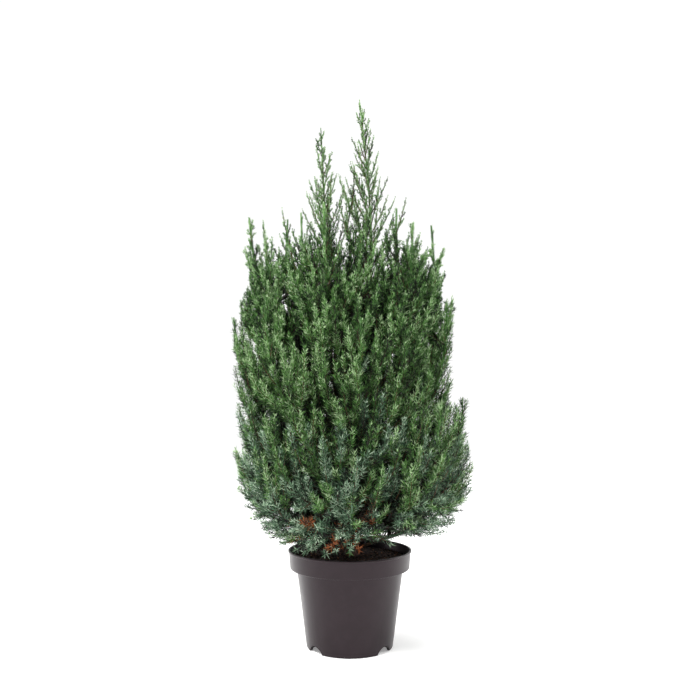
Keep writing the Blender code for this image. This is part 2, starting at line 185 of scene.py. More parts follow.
def joined(parts):
    points, faces, offset = [], [], 0
    for somePoints, someFaces in parts:
        points.append(somePoints)
        faces.append(someFaces + offset)
        offset += len(somePoints)
    return np.concatenate(points), np.concatenate(faces)


def squareTo(ways):
    # two directions square to each way and to each other
    leaning = np.abs(ways[..., 2:3]) < 0.9
    guide = np.where(leaning, np.array([0.13, 0.31, 0.94]), np.array([1.0, 0.2, 0.0]))
    side = unit(np.cross(ways, guide))
    return side, np.cross(ways, side)


def leaning(ways, roll, lean):
    # headings that lean out of each way, which way they lean, and what is square to both
    side, other = squareTo(ways)
    radial = side * np.cos(roll)[:, None] + other * np.sin(roll)[:, None]
    heading = ways * np.cos(lean)[:, None] + radial * np.sin(lean)[:, None]
    return heading, radial, unit(np.cross(ways, radial))


def wallsOf(index):
    # two triangles for each square between rings of point numbers (.., ring, round it)
    a, b = index[..., :-1, :], index[..., 1:, :]
    aNext, bNext = np.roll(a, -1, -1), np.roll(b, -1, -1)
    return np.stack([a, aNext, bNext, a, bNext, b], -1).reshape(-1, 3)


def tubes(paths, radii, sides):
    # closed tubes along paths (tube, step, xyz) with radii (tube, step), and each triangle's tube
    count, steps = radii.shape
    ways = unit(np.gradient(paths, axis=1))
    guide = unit(ways[:, :1] + ways[:, -1:] + 1e-9)
    side, other = squareTo(guide)
    side = unit(side - ways * (side * ways).sum(-1, keepdims=True))
    other = np.cross(ways, side)
    angles = anglesOf(sides)
    ring = side[:, :, None] * np.cos(angles)[:, None] + other[:, :, None] * np.sin(angles)[:, None]
    points = paths[:, :, None] + ring * radii[:, :, None, None]
    index = np.arange(count * steps * sides).reshape(count, steps, sides)
    fan = np.arange(1, sides - 1)
    foot, tip = index[:, 0], index[:, -1]
    feet = np.stack([foot[:, :1] + 0 * fan, foot[:, fan + 1], foot[:, fan]], -1).reshape(-1, 3)
    tips = np.stack([tip[:, :1] + 0 * fan, tip[:, fan], tip[:, fan + 1]], -1).reshape(-1, 3)
    owner = [np.repeat(np.arange(count), each)
             for each in ((steps - 1) * sides * 2, sides - 2, sides - 2)]
    return points.reshape(-1, 3), np.concatenate([wallsOf(index), feet, tips]), np.concatenate(owner)


print("camera and light")

view = dict(
    place=(-0.00125, -1.2, 0.371),
    tilt=3.89,              # degrees above level
    lens=39.33,
    sensor=36.0,
)
camera = bpy.data.objects.new("camera", bpy.data.cameras.new("camera"))
scene.collection.objects.link(camera)
camera.location = view["place"]
camera.rotation_euler = (math.radians(90 + view["tilt"]), 0, 0)
camera.data.lens = view["lens"]
camera.data.sensor_width = view["sensor"]
camera.data.clip_start = 0.02
scene.camera = camera
scene.view_settings.view_transform = "Standard"

studio = dict(
    backdrop="#ffffff",     # the white cove behind, and the dimmer room in front of the plant
    room="#626262",
    coveBetween=(-0.35, 0.55),  # the room turns into the cove between these Y of a heading
    worldStrength=1.04,
    floorColour="#f7f7f6",
    floorGlow=(0.28, 0.50),     # its glow close to the pot, dimmer there as a painted shadow, and farther off
    # between these distances from the middle the glow rises: the painted shadow round the pot
    glowBetween=(0.085, 0.170),
    floorSide=14.0,
    boxes=(                 # name, place, aim, width, height, watts
        ("keyBox", (-1.0, -1.5, 2.8), (0, 0, 0.45), 0.8, 0.8, 118),
        ("leftBox", (-1.7, 0.1, 0.8), (0, 0, 0.30), 0.8, 1.8, 18),
        ("rightBox", (1.7, 0.3, 0.8), (0, 0, 0.30), 0.7, 1.8, 28),
    ),
)


def aimed(place, aim):
    return (Vector(aim) - Vector(place)).to_track_quat("-Z", "Y").to_euler()


for name, place, aim, width, height, watts in studio["boxes"]:
    light = bpy.data.lights.new(name, "AREA")
    light.shape = "RECTANGLE"
    light.size = width
    light.size_y = height
    light.energy = watts
    box = bpy.data.objects.new(name, light)
    scene.collection.objects.link(box)
    box.location = place
    box.rotation_euler = aimed(place, aim)

world = bpy.data.worlds.new("studio")
scene.world = world
world.use_nodes = True
background = world.node_tree.nodes["Background"]
background.inputs["Strength"].default_value = studio["worldStrength"]
way = addNode(world.node_tree, "ShaderNodeTexCoord")
apart = addNode(world.node_tree, "ShaderNodeSeparateXYZ", links={"Vector": way.outputs["Generated"]})
behind = addNode(world.node_tree, "ShaderNodeMapRange",
                 values={"From Min": studio["coveBetween"][0], "From Max": studio["coveBetween"][1]},
                 links={"Value": apart.outputs["Y"]})
cove = setRamp(addNode(world.node_tree, "ShaderNodeValToRGB", links={"Fac": behind.outputs["Result"]}),
               ((0.0, studio["room"]), (1.0, studio["backdrop"])))
world.node_tree.links.new(cove.outputs["Color"], background.inputs["Color"])

# matt white paper sweep, lit from all round and glowing as well, so that it is burnt out but for a
# soft shadow; close to the pot it glows less, which paints that shadow in over the real one
paper = newMaterial("whitePaper", studio["floorColour"], Roughness=0.9)
paperShader = paper.node_tree.nodes["Principled BSDF"]
paperShader.inputs["Emission Color"].default_value = linear("#ffffff")
where = addNode(paper.node_tree, "ShaderNodeTexCoord")
away = addNode(paper.node_tree, "ShaderNodeVectorMath", dict(operation="LENGTH"),
               links={"Vector": where.outputs["Object"]})
# glow that grows with the distance from the middle: weaker by the pot, a painted shadow
glow = addNode(paper.node_tree, "ShaderNodeMapRange",
               values={"From Min": studio["glowBetween"][0], "From Max": studio["glowBetween"][1],
                       "To Min": studio["floorGlow"][0], "To Max": studio["floorGlow"][1]},
               links={"Value": away.outputs["Value"]})
paper.node_tree.links.new(glow.outputs["Result"], paperShader.inputs["Emission Strength"])
bpy.ops.mesh.primitive_plane_add(size=studio["floorSide"], location=(0, 0, 0))
floor = bpy.context.object
floor.name = "floor"
floor.data.materials.append(paper)


print("growth rule")

growth = dict(
    seed=8270,
    goldenAngle=137.508,
    limbClearance=0.0022,
    mostSwings=60,
    footStep=0.618,         # how far up its ring's stretch of trunk each foot is from the one before
    footShift=0.13,         # and how far it moves when a limb has no room
    uneven=(0.10, 0.006, 0.008),    # of the step round the trunk, metres outwards, metres upwards
    pull=0.48,              # of the chord, how far a limb keeps its first and last heading
    boughRadius=0.0029,
    boughEndRadius=0.0020,
    stemEndRadius=0.0011,
    openBough="skirt_8",    # on the right of the front, leafless for longer than the others
    openBare=0.46,
    longestTwig=0.110,
    tipReach=0.005,
)
trunkPlan = dict(
    foot=0.1348,
    top=0.540,
    soilTop=0.1345,
    radius=0.0070,
    topRadius=0.0024,
    flare=1.55,
    flareHeight=0.014,
)
# rings of limbs round the trunk: the first one's azimuth, the heights between which their feet are,
# how far out and how high they end. shift moves the ends along X, and left, back and sides raise them
# there. Every second limb ends a step farther out and lower. leave and arrive are slants in degrees
# from upright, bare is the share without twigs, and the rest is the mass of twigs round a limb.
plainRing = dict(shift=0.0, left=0.0, back=0.0, sides=0.0, outStep=0.0, downStep=0.0, arriveStep=0,
                 bare=0.0)
rings = (
    dict(plainRing, name="skirt", count=8, first=1, foot=(0.143, 0.180), radius=0.154, height=0.236,
         shift=0.004, outStep=-0.020, downStep=0.030, leave=72, arrive=36, arriveStep=20,
         bare=0.24, width=0.056, taper=0.60, lean=(50, 30), twigs=12),
    dict(plainRing, name="low", count=7, first=4, foot=(0.186, 0.236), radius=0.178, height=0.360,
         shift=0.006, outStep=0.004, downStep=0.014, leave=76, arrive=8, arriveStep=8,
         bare=0.20, width=0.060, taper=0.50, lean=(46, 24), twigs=14),
    dict(plainRing, name="waist", count=7, first=23, foot=(0.250, 0.312), radius=0.170, height=0.508,
         shift=-0.010, left=0.012, back=0.006, outStep=0.005, downStep=0.014, leave=66, arrive=4,
         arriveStep=6, bare=0.20, width=0.060, taper=0.44, lean=(44, 20), twigs=14),
    dict(plainRing, name="upper", count=6, first=13, foot=(0.322, 0.390), radius=0.152, height=0.652,
         shift=-0.008, left=0.012, back=0.012, sides=0.010, outStep=0.006, downStep=0.012, leave=62,
         arrive=1, arriveStep=5, width=0.058, taper=0.38, lean=(42, 18), twigs=15),
    dict(plainRing, name="shoulder", count=4, first=-21, foot=(0.410, 0.470), radius=0.080,
         height=0.658, shift=-0.003, back=0.010, sides=0.028, leave=40, arrive=2, width=0.052,
         taper=0.38, lean=(42, 18), twigs=12),
)


def onCurve(ends, t):
    a, b, c, d = ends
    s = 1 - t
    return a * s**3 + b * (3 * s * s * t) + c * (3 * s * t * t) + d * t**3


def curved(ends, shares):
    return np.array([onCurve(ends, t) for t in shares])


def headingAt(ends, t):
    a, b, c, d = ends
    s = 1 - t
    return unit((b - a) * (s * s) + (c - b) * (2 * s * t) + (d - c) * (t * t))


trunkEnds = (np.array([0.002, 0.002, trunkPlan["foot"]]), np.array([-0.005, 0.004, 0.270]),
             np.array([0.022, 0.004, 0.410]), np.array([0.032, 0.002, trunkPlan["top"]]))
tallTip = np.array([0.0155, 0.0, 0.856])
secondFoot = 0.258          # height where the second leader leaves the trunk
secondTip = np.array([-0.047, 0.010, 0.813])
trunkLine = curved(trunkEnds, np.arange(31) / 30)


def trunkShare(height):
    low, high = 0.0, 1.0
    for _ in range(30):
        middle = (low + high) / 2
        if onCurve(trunkEnds, middle)[2] < height:
            low = middle
        else:
            high = middle
    return low


def trunkRadius(t):
    radius = mixed(trunkPlan["radius"], trunkPlan["topRadius"], t**0.85)
    rise = (onCurve(trunkEnds, t)[2] - trunkPlan["soilTop"]) / trunkPlan["flareHeight"]
    return radius * (1 + (trunkPlan["flare"] - 1) * math.exp(-rise * 1.6))


def limbRadius(limb, t):
    bare = limb["bare"]
    if t < bare:
        return mixed(growth["boughRadius"], growth["boughEndRadius"], t / bare)
    return mixed(growth["boughEndRadius"], growth["stemEndRadius"], (t - bare) / (1 - bare))


def sampled(limb, start=0.0, end=1.0, count=36):
    shares = np.linspace(start, end, count)
    return curved(limb["ends"], shares), np.array([limbRadius(limb, t) for t in shares])


def nearest(points, line):
    # how far each point is from a line
    pieces = line[1:] - line[:-1]
    offset = points[:, None] - line[None, :-1]
    share = np.clip((offset * pieces).sum(2) / (pieces * pieces).sum(1), 0, 1)
    return np.linalg.norm(offset - share[..., None] * pieces, axis=2).min(1)


def hasRoom(limb, others):
    points, radii = sampled(limb, count=60)
    outside = nearest(points, trunkLine) > trunkPlan["radius"] * 0.9
    points, radii = points[outside], radii[outside]
    for other in others:
        line, widths = sampled(other)
        room = nearest(points, line) - radii - widths.mean()
        if room.min() < growth["limbClearance"]:
            return False
    return True


def leaders():
    look = dict(ring="leader", width=0.054, taper=0.30, lean=(38, 20))
    tall = (trunkEnds[3], trunkEnds[3] + headingAt(trunkEnds, 1) * 0.10,
            tallTip + np.array([0.012, 0.0, -0.110]), tallTip)
    foot = onCurve(trunkEnds, trunkShare(secondFoot))
    second = (foot, foot + np.array([-0.040, 0.018, 0.080]),
              secondTip + np.array([0.012, 0.0, -0.180]), secondTip)
    return [dict(look, name="tall_leader", ends=tall, bare=0.0, twigs=19),
            dict(look, name="second_leader", ends=second, bare=0.46, twigs=17)]


def ringLimbs(ring, others):
    # each limb swings round and up the trunk until it has room
    limbs = []
    step = 360 / ring["count"]
    for i in range(ring["count"]):
        name = f"{ring['name']}_{i + 1}"
        side = 1 if i % 2 else -1
        aside, out, higher = growth["uneven"]
        aim = ring["first"] + i * step + drawn(name, 1) * step * aside
        reach = ring["radius"] + side * ring["outStep"] + drawn(name, 2) * out
        height = ring["height"] - side * ring["downStep"] + drawn(name, 3) * higher
        arrive = ring["arrive"] + side * ring["arriveStep"]
        for attempt in range(growth["mostSwings"]):
            azimuth = aim + (attempt + 1) // 2 * (1 if attempt % 2 else -1)
            share = (i * growth["footStep"] + attempt * growth["footShift"]) % 1
            foot = onCurve(trunkEnds, trunkShare(mixed(*ring["foot"], share)))
            angle = math.radians(azimuth)
            rise = (math.sin(angle) * ring["back"] - math.cos(angle) * ring["left"]
                    + math.cos(2 * angle) * ring["sides"])
            tip = outward(azimuth) * reach + up * (height + rise)
            tip[0] += ring["shift"]
            pull = np.linalg.norm(tip - foot) * growth["pull"]
            ends = (foot, foot + slanted(azimuth, ring["leave"]) * pull,
                    tip - slanted(azimuth, arrive) * pull, tip)
            limb = dict(ring, ring=ring["name"], name=name, ends=ends)
            if name == growth["openBough"]:
                limb["bare"] = growth["openBare"]
            if hasRoom(limb, others + limbs):
                break
        limbs.append(limb)
    return limbs


limbs = leaders()
for ring in reversed(rings):
    limbs += ringLimbs(ring, limbs)
groups = {name: [limb for limb in limbs if limb["ring"] == name]
          for name in ("leader", "shoulder", "upper", "waist", "low", "skirt")}


print("twigs and shoots")

foliage = dict(
    onStem=(0.03, 0.95),    # share of the green stem that carries twigs
    finer=1.4,              # twigs for each one in the solids
    wider=1.12,             # than the mass in the solids, so that neighbours close up
    inset=0.006,            # the shoots stand this far out of their twigs
    shortestTwig=0.009,
    uneven=(0.18, 0.16),    # share of their lean, and of their length
    lift=(0.35, 1.9),       # how far a twig turns upwards by its tip, low down and higher up
    liftBetween=(0.19, 0.34),
    leaderLift=0.6,         # and on the leaders
    spire=0.85,             # times the length of twigs by the top of the upper ring
    spireBetween=(0.600, 0.680),
    leastTwig=0.028,        # a twig that leaves the crown is cut again and again, down to this
    cut=0.88,               # times its length
    mostCuts=12,
    face=(0.84, 1.03),      # share of the crown's reach at which a twig has to end
    thinning=0.20,          # share of the twigs left out by the tip of a plume, so sky shows
    thinBetween=(0.45, 0.95),   # share of the stem over which that grows
    juvenile=(0.34, 0.68),  # below the first height needles spread, above the second they hug
    juvenilePlay=0.06,
    glaucous=(0.16, 0.47),  # below the first height most shoots are blue-green, above it none
    glaucousShare=0.85,     # of the shoots below the first
    toneShares=(0.22, 0.50, 0.28),  # of the twigs that are shaded, leaf green and fresh
    freshShare=0.7,         # of the twigs that are a tone fresher, high up
    woody=(0.30, 0.06),     # share of a twig that is bare wood, in the shade and in the light
    slim=(0.600, 0.700),    # between these heights shoots become short, thin, open and fresh
    leaderMore=1.8,         # the leaders have this many more twigs
    leaderWider=1.12,       # and longer ones
    dim=(0.50, 0.84),       # share of the crown's reach inside which it counts as shade: needles there get darker tones as painted shade, and grow sparser
    dimBelow=(0.540, 0.640),
    shaded=(0.25, 0.62),    # share of the crown's reach inside which shoots die back
    shadedBelow=(0.50, 0.58),
    deadFrom=(0.60, 1.00),  # share of the reach between which fewer and fewer low shoots are dead
    deadShare=0.7,          # of them inside the first
    deadBelow=(0.195, 0.250),
    deadRound=(-0.020, 0.085),  # its middle, and how far to each side it goes
    withered=0.19,          # share of the lowest twigs that are dead all along
    headroom=(0.016, 0.045),    # clear space over the soil, on the left and on the right
    headroomBetween=(-0.005, 0.040),
    potRoom=(0.004, 0.008),     # from the rim, and from the wall inside the pot
    under=(0.124, 0.145),   # how far out the clear space goes, in front and behind
)
crown = (                   # height, and how far the crown reaches there on its left and right
    (0.135, 0.096, 0.100), (0.150, 0.108, 0.114), (0.175, 0.132, 0.146), (0.200, 0.152, 0.164),
    (0.225, 0.160, 0.179), (0.300, 0.168, 0.185), (0.350, 0.164, 0.173), (0.400, 0.167, 0.156),
    (0.425, 0.173, 0.150), (0.475, 0.176, 0.152), (0.525, 0.167, 0.154), (0.575, 0.155, 0.145),
    (0.625, 0.158, 0.136), (0.660, 0.154, 0.130), (0.700, 0.090, 0.080), (0.750, 0.065, 0.050),
    (0.860, 0.060, 0.045),
)
between = dict(             # twigs that reach into the gaps the others leave
    # tries, between what heights, at what share of the crown's reach, how far apart
    passes=(
        (2400, (0.165, 0.620), (0.97, 1.07), 0.0125),
        (8500, (0.148, 0.700), (0.90, 1.00), 0.0125),
        (6000, (0.148, 0.700), (0.72, 0.90), 0.0140),
        (4000, (0.160, 0.700), (0.45, 0.72), 0.0170),
        (3000, (0.180, 0.700), (0.10, 0.45), 0.0175),
        (2500, (0.640, 0.735), (0.05, 0.95), 0.0120),
    ),
    crossing=1.5,           # how much farther than the nearest a twig's foot may be
    flat=0.6,               # how much heights count in the distance between twigs
    fill=(1.0, 0.8, 0.6),   # shares of a twig's length that keep others off
    inwards=0.045,          # where a foot is best: this far in from the tip, and this far below it
    downwards=(-0.020, 0.060),
    sparser=1.1,            # how much farther apart they get
    sparse=(0.590, 0.650),  # between these heights,
    outer=(0.060, 0.090),   # and the more so between these distances from the middle
    longest=0.150,
    forking=0.045,          # longer ones carry others
    steep=(0.560, 0.640),   # between these heights they come to rise twice as far as they spread
    steepest=0.9,           # the upright share of their heading, above those heights
    # height, and how far a twig that ends there turns upwards
    lift=((0.165, 0.15), (0.320, 1.3), (0.500, 1.8), (0.560, 1.8), (0.640, 0.5)),
    below=(-0.060, 0.045),  # how far their feet are below their tips, low down and higher up
    belowBetween=(0.185, 0.320),
)
# side shoots on the twigs: pairs go from the airy top to the dense crown, leans from foot to tip
shootRule = dict(spacing=(0.0056, 0.0052), sparser=1.4, longest=(0.014, 0.019), turn=137.5,
                 start=0.14, end=0.90, lean=(38, 20), lift=0.8, shortening=0.26)
# shorter cords on the long, well lit shoots of the upper crown
cordRule = dict(spacing=0.0072, longest=0.0085, turn=180, start=0.12, end=0.95, lean=(34, 24),
                lift=0.25, shortening=0.45, mostSpread=0.6, leastShoot=0.008, leastLight=0.3)
sidePlay = dict(            # how much side shoots of both kinds differ
    roll=20,
    lean=7,
    length=(0.65, 1.25),
    ofParent=0.5,           # no longer than this share of what carries them
)
clad = dict(                # the green upper part of every stem, in short lengths
    start=0.30,             # share of the stem at which the needles begin
    leaderStart=0.14,
    piece=0.026,
    over=(1.02, 0.50),      # times the stem's own radius, and by the tips of the leaders
    overBetween=(0.60, 0.80),
)
inside = dict(              # shaded twigs round the trunk and the bare wood, with big old needles in near-black tones that paint the crown's depth dark: painted shade
    perLimb=48,
    onTrunk=380,
    onLimb=(0.10, 0.95),    # from what share of a limb to what share they stand, and of the trunk
    upTrunk=(0.06, 1.0),
    length=(0.035, 0.075),
    lean=(30, 75),          # from the wood that carries them
    lift=0.25,              # how far they turn upwards
    depth=0.76,             # share of the crown's reach that they keep to, and up to what height
    top=0.56,
    needleLean=(30, 75),
    needleLength=0.0135,
    play=(0.7, 1.2),        # times that
    needleWidth=0.0044,
    bareTo=0.2,             # share of a twig, from its foot, without needles
    spacing=0.0046,         # from whorl to whorl
    old=0.45,               # share of the needles that are dead
)


def numbered(counts):
    # for counts of things on each parent: the parent of every thing, and its number there
    owner = np.repeat(np.arange(len(counts)), counts)
    return owner, np.arange(len(owner)) - np.repeat(np.cumsum(counts) - counts, counts)


def along(parents, owner, share):
    # place and heading of a point on each owner, whose heading turns from first to last
    share = share[:, None]
    first = parents["first"][owner]
    turn = parents["last"][owner] - first
    run = parents["length"][owner][:, None] * (first * share + turn * share * share / 2)
    return parents["root"][owner] + run, unit(first + turn * share)


def depthOf(points):
    # how far out of the crown's middle points stand: 1 is its face
    heights, toLeft, toRight = np.array(crown).T
    left = np.interp(points[..., 2], heights, toLeft)
    right = np.interp(points[..., 2], heights, toRight)
    radius = np.hypot(points[..., 0], points[..., 1])
    rightward = 0.5 + 0.5 * points[..., 0] / np.maximum(radius, 1e-6)
    return radius / mixed(left, right, rightward)


def litAt(points):
    # how lit a place counts as: 1 out at the crown's face and in its airy top, 0 in its depth. Where
    # it is low, needles are painted darker as shade
    return np.maximum(smooth(depthOf(points), *foliage["dim"]),
                      smooth(points[:, 2], *foliage["dimBelow"]))


def shadedOut(points):
    # 1 where growth dies for want of light: low down, in the middle of the front and the back
    middle, side = foliage["deadRound"]
    return (1 - smooth(points[:, 2], *foliage["deadBelow"])) * (
        1 - smooth(np.abs(points[:, 0] - middle), side * 0.8, side))


def kept(twig, face):
    # the twig, shortened until it stays in the crown
    for _ in range(foliage["mostCuts"]):
        tip = twig["root"] + (twig["first"] + twig["last"]) / 2 * twig["length"]
        if depthOf(tip) < face or twig["length"] < foliage["leastTwig"]:
            break
        twig["length"] *= foliage["cut"]
    return twig


def twigsOf(limb):
    shares = np.linspace(limb["bare"], 1, 60)
    run = runOf(curved(limb["ends"], shares))
    turn = drawn(limb["name"], 9) * 180
    leading = limb["ring"] == "leader"
    more = foliage["leaderMore"] if leading else 1.0
    wider = foliage["wider"] * (foliage["leaderWider"] if leading else 1.0)
    count = round(limb["twigs"] * foliage["finer"] * more)
    twigs = []
    for k in range(count):
        upStem = (k + 0.5) / count
        thin = foliage["thinning"] * smooth(upStem, *foliage["thinBetween"])
        if abs(drawn(limb["name"], 400 + k)) < thin:
            continue
        place = run[-1] * mixed(*foliage["onStem"], upStem)
        t = float(np.interp(place, run, shares))
        heading = headingAt(limb["ends"], t)
        side = unit(np.cross(heading, [0.3, 1.0, 0.2]))
        angle = math.radians(turn + k * growth["goldenAngle"])
        radial = side * math.cos(angle) + np.cross(heading, side) * math.sin(angle)
        lean = math.radians(mixed(*limb["lean"], upStem)
                            * (1 + foliage["uneven"][0] * drawn(limb["name"], 200 + k)))
        first = heading * math.cos(lean) + radial * math.sin(lean)
        root = onCurve(limb["ends"], t)
        lift = mixed(*foliage["lift"], smooth(root[2], *foliage["liftBetween"]))
        if leading:
            lift = foliage["leaderLift"]
        last = unit(first + up * lift)
        middle = (first + last) / 2
        forward = float(middle @ heading)
        sideways = max(0.2, float(np.linalg.norm(middle - heading * forward)))
        across = (limb["width"] * wider - foliage["inset"]) / sideways
        taper = limb["taper"]
        toTip = (taper * (run[-1] - place) + growth["tipReach"]) / (sideways + taper * forward)
        length = min(growth["longestTwig"], across, toTip) * (
            0.90 + foliage["uneven"][1] * drawn(limb["name"], 20 + k))
        if not leading:
            length *= mixed(1.0, foliage["spire"], smooth(root[2], *foliage["spireBetween"]))
        if length < foliage["shortestTwig"]:
            continue
        face = mixed(*foliage["face"], 0.5 + 0.5 * drawn(limb["name"], 600 + k))
        twigs.append(kept(dict(root=root, first=first, last=last, length=length,
                               ring=limb["ring"], limb=limb["name"]), face))
    return twigs


def cladFrom(limb):
    start = clad["leaderStart"] if limb["name"] == "tall_leader" else clad["start"]
    return max(start, limb["bare"])


def cladding(limb):
    # needles straight on the stem, length by length up to its tip, which is thin on the leaders
    pieces = max(3, round(np.linalg.norm(limb["ends"][3] - limb["ends"][0]) / clad["piece"]))
    shares = np.linspace(cladFrom(limb), 1, pieces + 1)
    points = curved(limb["ends"], shares)
    over = [mixed(*clad["over"], smooth(point[2], *clad["overBetween"])) for point in points]
    return [dict(root=points[i], first=headingAt(limb["ends"], shares[i]),
                 last=headingAt(limb["ends"], shares[i + 1]),
                 length=float(np.linalg.norm(points[i + 1] - points[i])),
                 core=limbRadius(limb, shares[i]) * over[i]) for i in range(pieces)]


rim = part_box("pot")[1]


def clearOfPot(roots, tips):
    # False where a shoot would pass through the rim, the wall or the clear space over the soil
    clear = np.ones(len(roots), bool)
    room, roomInside = foliage["potRoom"]
    for share in (0.5, 1.0, 1.15):
        points = mixed(roots, tips, share)
        radius = np.hypot(points[:, 0], points[:, 1])
        overPot = radius < rim.x + room
        inPot = radius < rim.x - roomInside
        lowest = np.where(inPot, trunkPlan["soilTop"], rim.z) + room
        clear &= ~(overPot & (points[:, 2] < lowest))
        headroom = mixed(*foliage["headroom"], smooth(points[:, 0], *foliage["headroomBetween"]))
        under = radius < np.where(points[:, 1] > 0, foliage["under"][1], foliage["under"][0])
        clear &= ~(under & (points[:, 2] < trunkPlan["soilTop"] + headroom))
    return clear


def twigsBetween(twigs):
    # more twigs, each into a gap from the best place inside and below it, on a limb or a twig
    rng = seeded("between")
    lines = [sampled(limb)[0] for limb in limbs]
    feet, limbOf = np.concatenate(lines), numbered([len(line) for line in lines])[0]
    parts = gathered(twigs)
    owner, number = numbered(np.full(len(twigs), 4))
    taken = along(parts, owner, 0.4 + 0.2 * number)[0]
    names = [limb["name"] for limb in limbs]
    feet = np.concatenate([feet, taken[number == 0]])
    limbOf = np.concatenate([limbOf, [names.index(twig["limb"]) for twig in twigs]])
    found = []
    for tries, height, depth, apart in between["passes"]:
        for _ in range(tries):
            tip = outward(rng.uniform(0, 360)) + up * rng.uniform(*height)
            tip[:2] *= rng.uniform(*depth) / depthOf(tip)
            offset = (taken - tip) * (1, 1, between["flat"])
            clearing = apart * (1 + between["sparser"] * smooth(tip[2], *between["sparse"])
                                * smooth(np.hypot(tip[0], tip[1]), *between["outer"]))
            if (offset * offset).sum(1).min() < clearing**2:
                continue
            higher = smooth(tip[2], *between["belowBetween"])
            best = tip - up * mixed(*between["downwards"], higher)
            best[:2] *= 1 - min(1, between["inwards"] / max(np.hypot(tip[0], tip[1]), 0.001))
            favour = rng.uniform(1, between["crossing"], len(limbs))[limbOf]
            room = np.linalg.norm(feet - best, axis=1) * favour
            drop = mixed(*between["below"], higher)
            chosen = np.where(feet[:, 2] < tip[2] - drop, room, 9).argmin()
            root = feet[chosen]
            length = float(np.linalg.norm(tip - root))
            if length > between["longest"] or not clearOfPot(root[None], tip[None])[0]:
                continue
            way = unit(tip - root)
            upright = between["steepest"] * smooth(tip[2], *between["steep"])
            if tip[2] > between["steep"][0] and way[2] < upright:
                continue
            last = unit(way + up * np.interp(tip[2], *np.array(between["lift"]).T))
            first = unit(2 * way - last)
            found.append(dict(root=root, first=first, last=last, length=length,
                              ring=limbs[limbOf[chosen]]["ring"]))
            taken = np.concatenate([taken, [mixed(root, tip, share) for share in between["fill"]]])
            if length > between["forking"]:
                fork = root + length * (first * 0.4 + (last - first) * 0.08)
                feet = np.concatenate([feet, [fork]])
                limbOf = np.append(limbOf, limbOf[chosen])
    return found


def offshoots(parents, rule, spacing, longest, rng):
    # side shoots up every parent, shorter towards its tip, that turn upwards
    counts = np.maximum(2, np.round(parents["length"] * 0.8 / spacing)).astype(int)
    owner, number = numbered(counts)
    share = mixed(rule["start"], rule["end"], (number + 0.5) / counts[owner])
    root, heading = along(parents, owner, share)
    roll = np.radians(rng.uniform(0, 360, len(counts))[owner] + number * rule["turn"]
                      + rng.uniform(-sidePlay["roll"], sidePlay["roll"], len(owner)))
    lean = np.radians(mixed(*rule["lean"], share)
                      + rng.uniform(-sidePlay["lean"], sidePlay["lean"], len(owner)))
    first = leaning(heading, roll, lean)[0]
    shape = mixed(1.0, rule["shortening"], share**1.2) * np.minimum(1, 0.5 + share * 2)
    most = np.minimum(longest[owner], parents["length"][owner] * sidePlay["ofParent"])
    return dict(root=root, first=first, last=unit(first + up * rule["lift"]),
                length=most * shape * rng.uniform(*sidePlay["length"], len(owner)),
                spread=parents["spread"][owner], tone=parents["tone"][owner],
                core=(mixed(*needle["cord"], parents["spread"]) * parents["slender"])[owner],
                slender=parents["slender"][owner],
                bareTo=np.zeros(len(owner)), stem=np.zeros(len(owner), bool))


# needles have a waxy cuticle: a soft satin. Both families run from shaded to fresh growth: the darkest
# tone is also painted shade for needles deep in the crown, and the palest stands for fresh tips and
# for glints on them, a painted highlight. The old needles are darkened to near black as painted shade.
needleTones = (
    ("greenShade", "#0e1d08"), ("greenLeaf", "#3a602b"),
    ("greenFresh", "#618c4a"), ("greenTip", "#a4bf8f"),
    ("blueShade", "#0d160d"), ("blueLeaf", "#37533b"),
    ("blueBloom", "#618063"), ("blueTip", "#a3ba9f"),
    ("deadNeedle", "#8e4e26"), ("oldNeedle", "#1a120a"),
)
tones = [newMaterial(name, colour, Roughness=0.45, IOR=1.45, Specular_IOR_Level=0.35)
         for name, colour in needleTones]
steps = 4                   # tones in each family
deadTone = 2 * steps

# young juniper wood: smooth, red-brown, matt
twigTones = [newMaterial(name, colour, Roughness=0.75)
             for name, colour in (("twigBark", "#59402c"), ("twigShade", "#33241a"))]


def picked(parts, where):
    return {key: value[where] for key, value in parts.items()}


def merged(several):
    return {key: np.concatenate([parts[key] for parts in several]) for key in several[0]}


def gathered(twigs, keys=("root", "first", "last", "length")):
    return {key: np.array([twig[key] for twig in twigs]) for key in keys}


def dressed(parts, rng):
    # gives twigs their colour and how far their needles spread, and returns how high they end
    count = len(parts["length"])
    tips = along(parts, np.arange(count), np.ones(count))[0]
    heights = tips[:, 2]
    blue = rng.random(count) < foliage["glaucousShare"] * (1 - smooth(heights, *foliage["glaucous"]))
    # twigs that end in the crown's depth are painted a tone darker: painted shade
    shaded = litAt(tips) < 0.1
    fresh = foliage["freshShare"] * smooth(heights, *foliage["slim"]) > rng.random(count)
    step = np.clip(rng.choice(3, count, p=foliage["toneShares"]) - shaded + fresh, 0, 2)
    play = foliage["juvenilePlay"]
    parts["tone"] = np.where(blue, steps, 0) + step
    parts["spread"] = 1 - smooth(heights + rng.uniform(-play, play, count), *foliage["juvenile"])
    return heights


